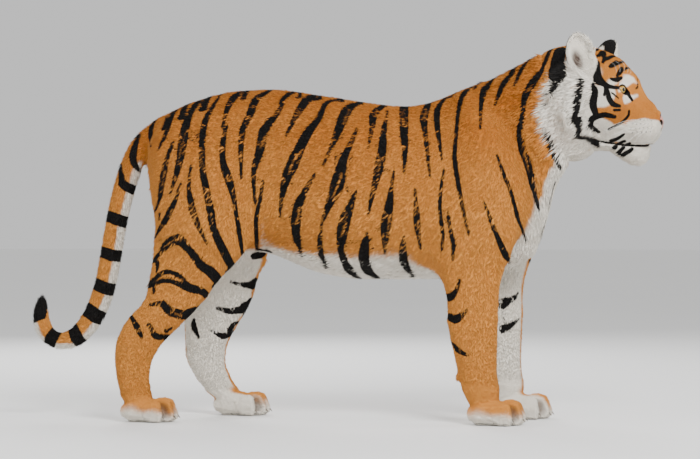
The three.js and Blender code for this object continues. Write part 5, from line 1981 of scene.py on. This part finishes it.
def nose_material():
    """Damp pebbled skin, pink in the middle and dark round the nostrils and edges."""
    made = Material("nose_skin", Roughness=0.38)
    made.constant(Specular_IOR_Level=0.45)
    place = made.tree.nodes.new("ShaderNodeTexCoord").outputs["Object"]
    pebbles = made.node("ShaderNodeTexVoronoi", {"feature": "SMOOTH_F1"}, 0, Vector=place, Scale=900.0)
    mottle = made.noise(90.0, 3.0)
    rim = made.ramp(made.attribute("rim") + (mottle - 0.5) * 0.7, 0.3, 0.8)
    pink = made.blend(mottle, NOSE_PALE, NOSE_PINK)
    made.set(Base_Color=made.blend(rim, pink, NOSE_DARK), Normal=made.bump(pebbles, 0.35, 0.0006))
    return made.data


def eye_material():
    """A round black pupil, an amber iris with fine spokes and a dark edge, and dark corners, all wet."""
    made = Material("iris", Roughness=0.06)
    made.constant(Specular_IOR_Level=0.25, Coat_Weight=0.25, Coat_Roughness=0.02)
    away = made.attribute("away")
    spoke = made.attribute("spoke", "Vector")
    fibres = made.node("ShaderNodeTexNoise", None, 0, Vector=spoke, Scale=9.0, Detail=6.0, Roughness=0.7)
    ring = made.ramp(away + (fibres - 0.5) * 18, 16, 36)
    amber = made.blend(ring, IRIS_INNER, IRIS_OUTER)
    amber = made.blend(made.ramp(fibres, 0.45, 0.72) * 0.4, amber, IRIS_FIBRE)
    amber = made.blend(made.ramp(away, 39, 44), amber, EYE_CORNER)
    pupil = made.ramp(away, 17.5, 16.0)
    made.set(Base_Color=made.blend(pupil, amber, PUPIL))
    return made.data


def claw_material():
    made = Material("claw", Roughness=0.3)
    streaks = made.noise(180.0, 4.0)
    horn = made.blend(made.ramp(streaks, 0.3, 0.7), HORN, HORN_TIP)
    made.set(Base_Color=horn, Normal=made.bump(streaks, 0.2, 0.0005))
    return made.data


def whisker_material():
    made = Material("whisker", Roughness=0.4)
    streaks = made.noise(60.0, 2.0)
    made.set(Base_Color=made.blend(streaks, WHISKER_CREAM, WHISKER_WHITE))
    return made.data


def dress(made, material, slot, *replaced):
    """Gives a piece its material and its body, and hides the nodes that it stands for. The slot is not used.
    """
    made.data.materials.clear()
    made.data.materials.append(material)
    made.data.polygons.foreach_set("use_smooth", np.ones(len(made.data.polygons), bool))
    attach(made, "root")
    if replaced:
        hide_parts(*replaced)


dress(skin, skin_material(), "coat", *(name for name in FLESH if name != "nose"))
fur = coat_material()
for piece in coat:
    dress(piece, fur, "coat")
wet = eye_material()
for side, ball in zip(SIDES, eyeballs):
    dress(ball, wet, "iris", f"{side}_eye")
dress(nose, nose_material(), "nose_skin", "nose")
dress(claws, claw_material(), "black_coat")
dress(whiskers, whisker_material(), "pale_coat")


# ---- stage and light ------------------------------------------------------------------------------------
FLOOR_SIZE = 60
LAMPS = (  # name, place, size in metres and power in watts
    ("key", (1.8, -3.6, 3.4), 1.6, 250),
    ("fill", (-3.6, -2.4, 1.8), 3.0, 30),
    ("back", (-1.5, 4.0, 3.0), 2.4, 150),
    ("front", (4.2, 1.2, 1.8), 2.0, 50),
)
LIT_PLACE = (0, 0, 0.6)
SKY = (0.95, 0.95, 0.95, 1)
SKY_STRENGTH = 0.78


def make_stage():
    shape = bmesh.new()
    bmesh.ops.create_grid(shape, x_segments=2, y_segments=2, size=FLOOR_SIZE)
    mesh = bpy.data.meshes.new("floor")
    shape.to_mesh(mesh)
    shape.free()
    floor = linked("floor", mesh)
    pale = Material("floor", Roughness=0.9)
    pale.set(Base_Color=pale.blend(pale.noise(0.6, 2.0), FLOOR_PALE, FLOOR_GREY))
    mesh.materials.append(pale.data)


def light(name, place, size, power):
    data = bpy.data.lights.new(name, "AREA")
    data.size = size
    data.energy = power
    made = linked(name, data)
    made.location = place
    made.rotation_mode = "QUATERNION"
    made.rotation_quaternion = (Vector(LIT_PLACE) - Vector(place)).to_track_quat("-Z", "Y")


make_stage()
for lamp in LAMPS:
    light(*lamp)
world = bpy.data.worlds.new("studio")
world.use_nodes = True
background = world.node_tree.nodes["Background"]
background.inputs["Color"].default_value = SKY
background.inputs["Strength"].default_value = SKY_STRENGTH
bpy.context.scene.world = world
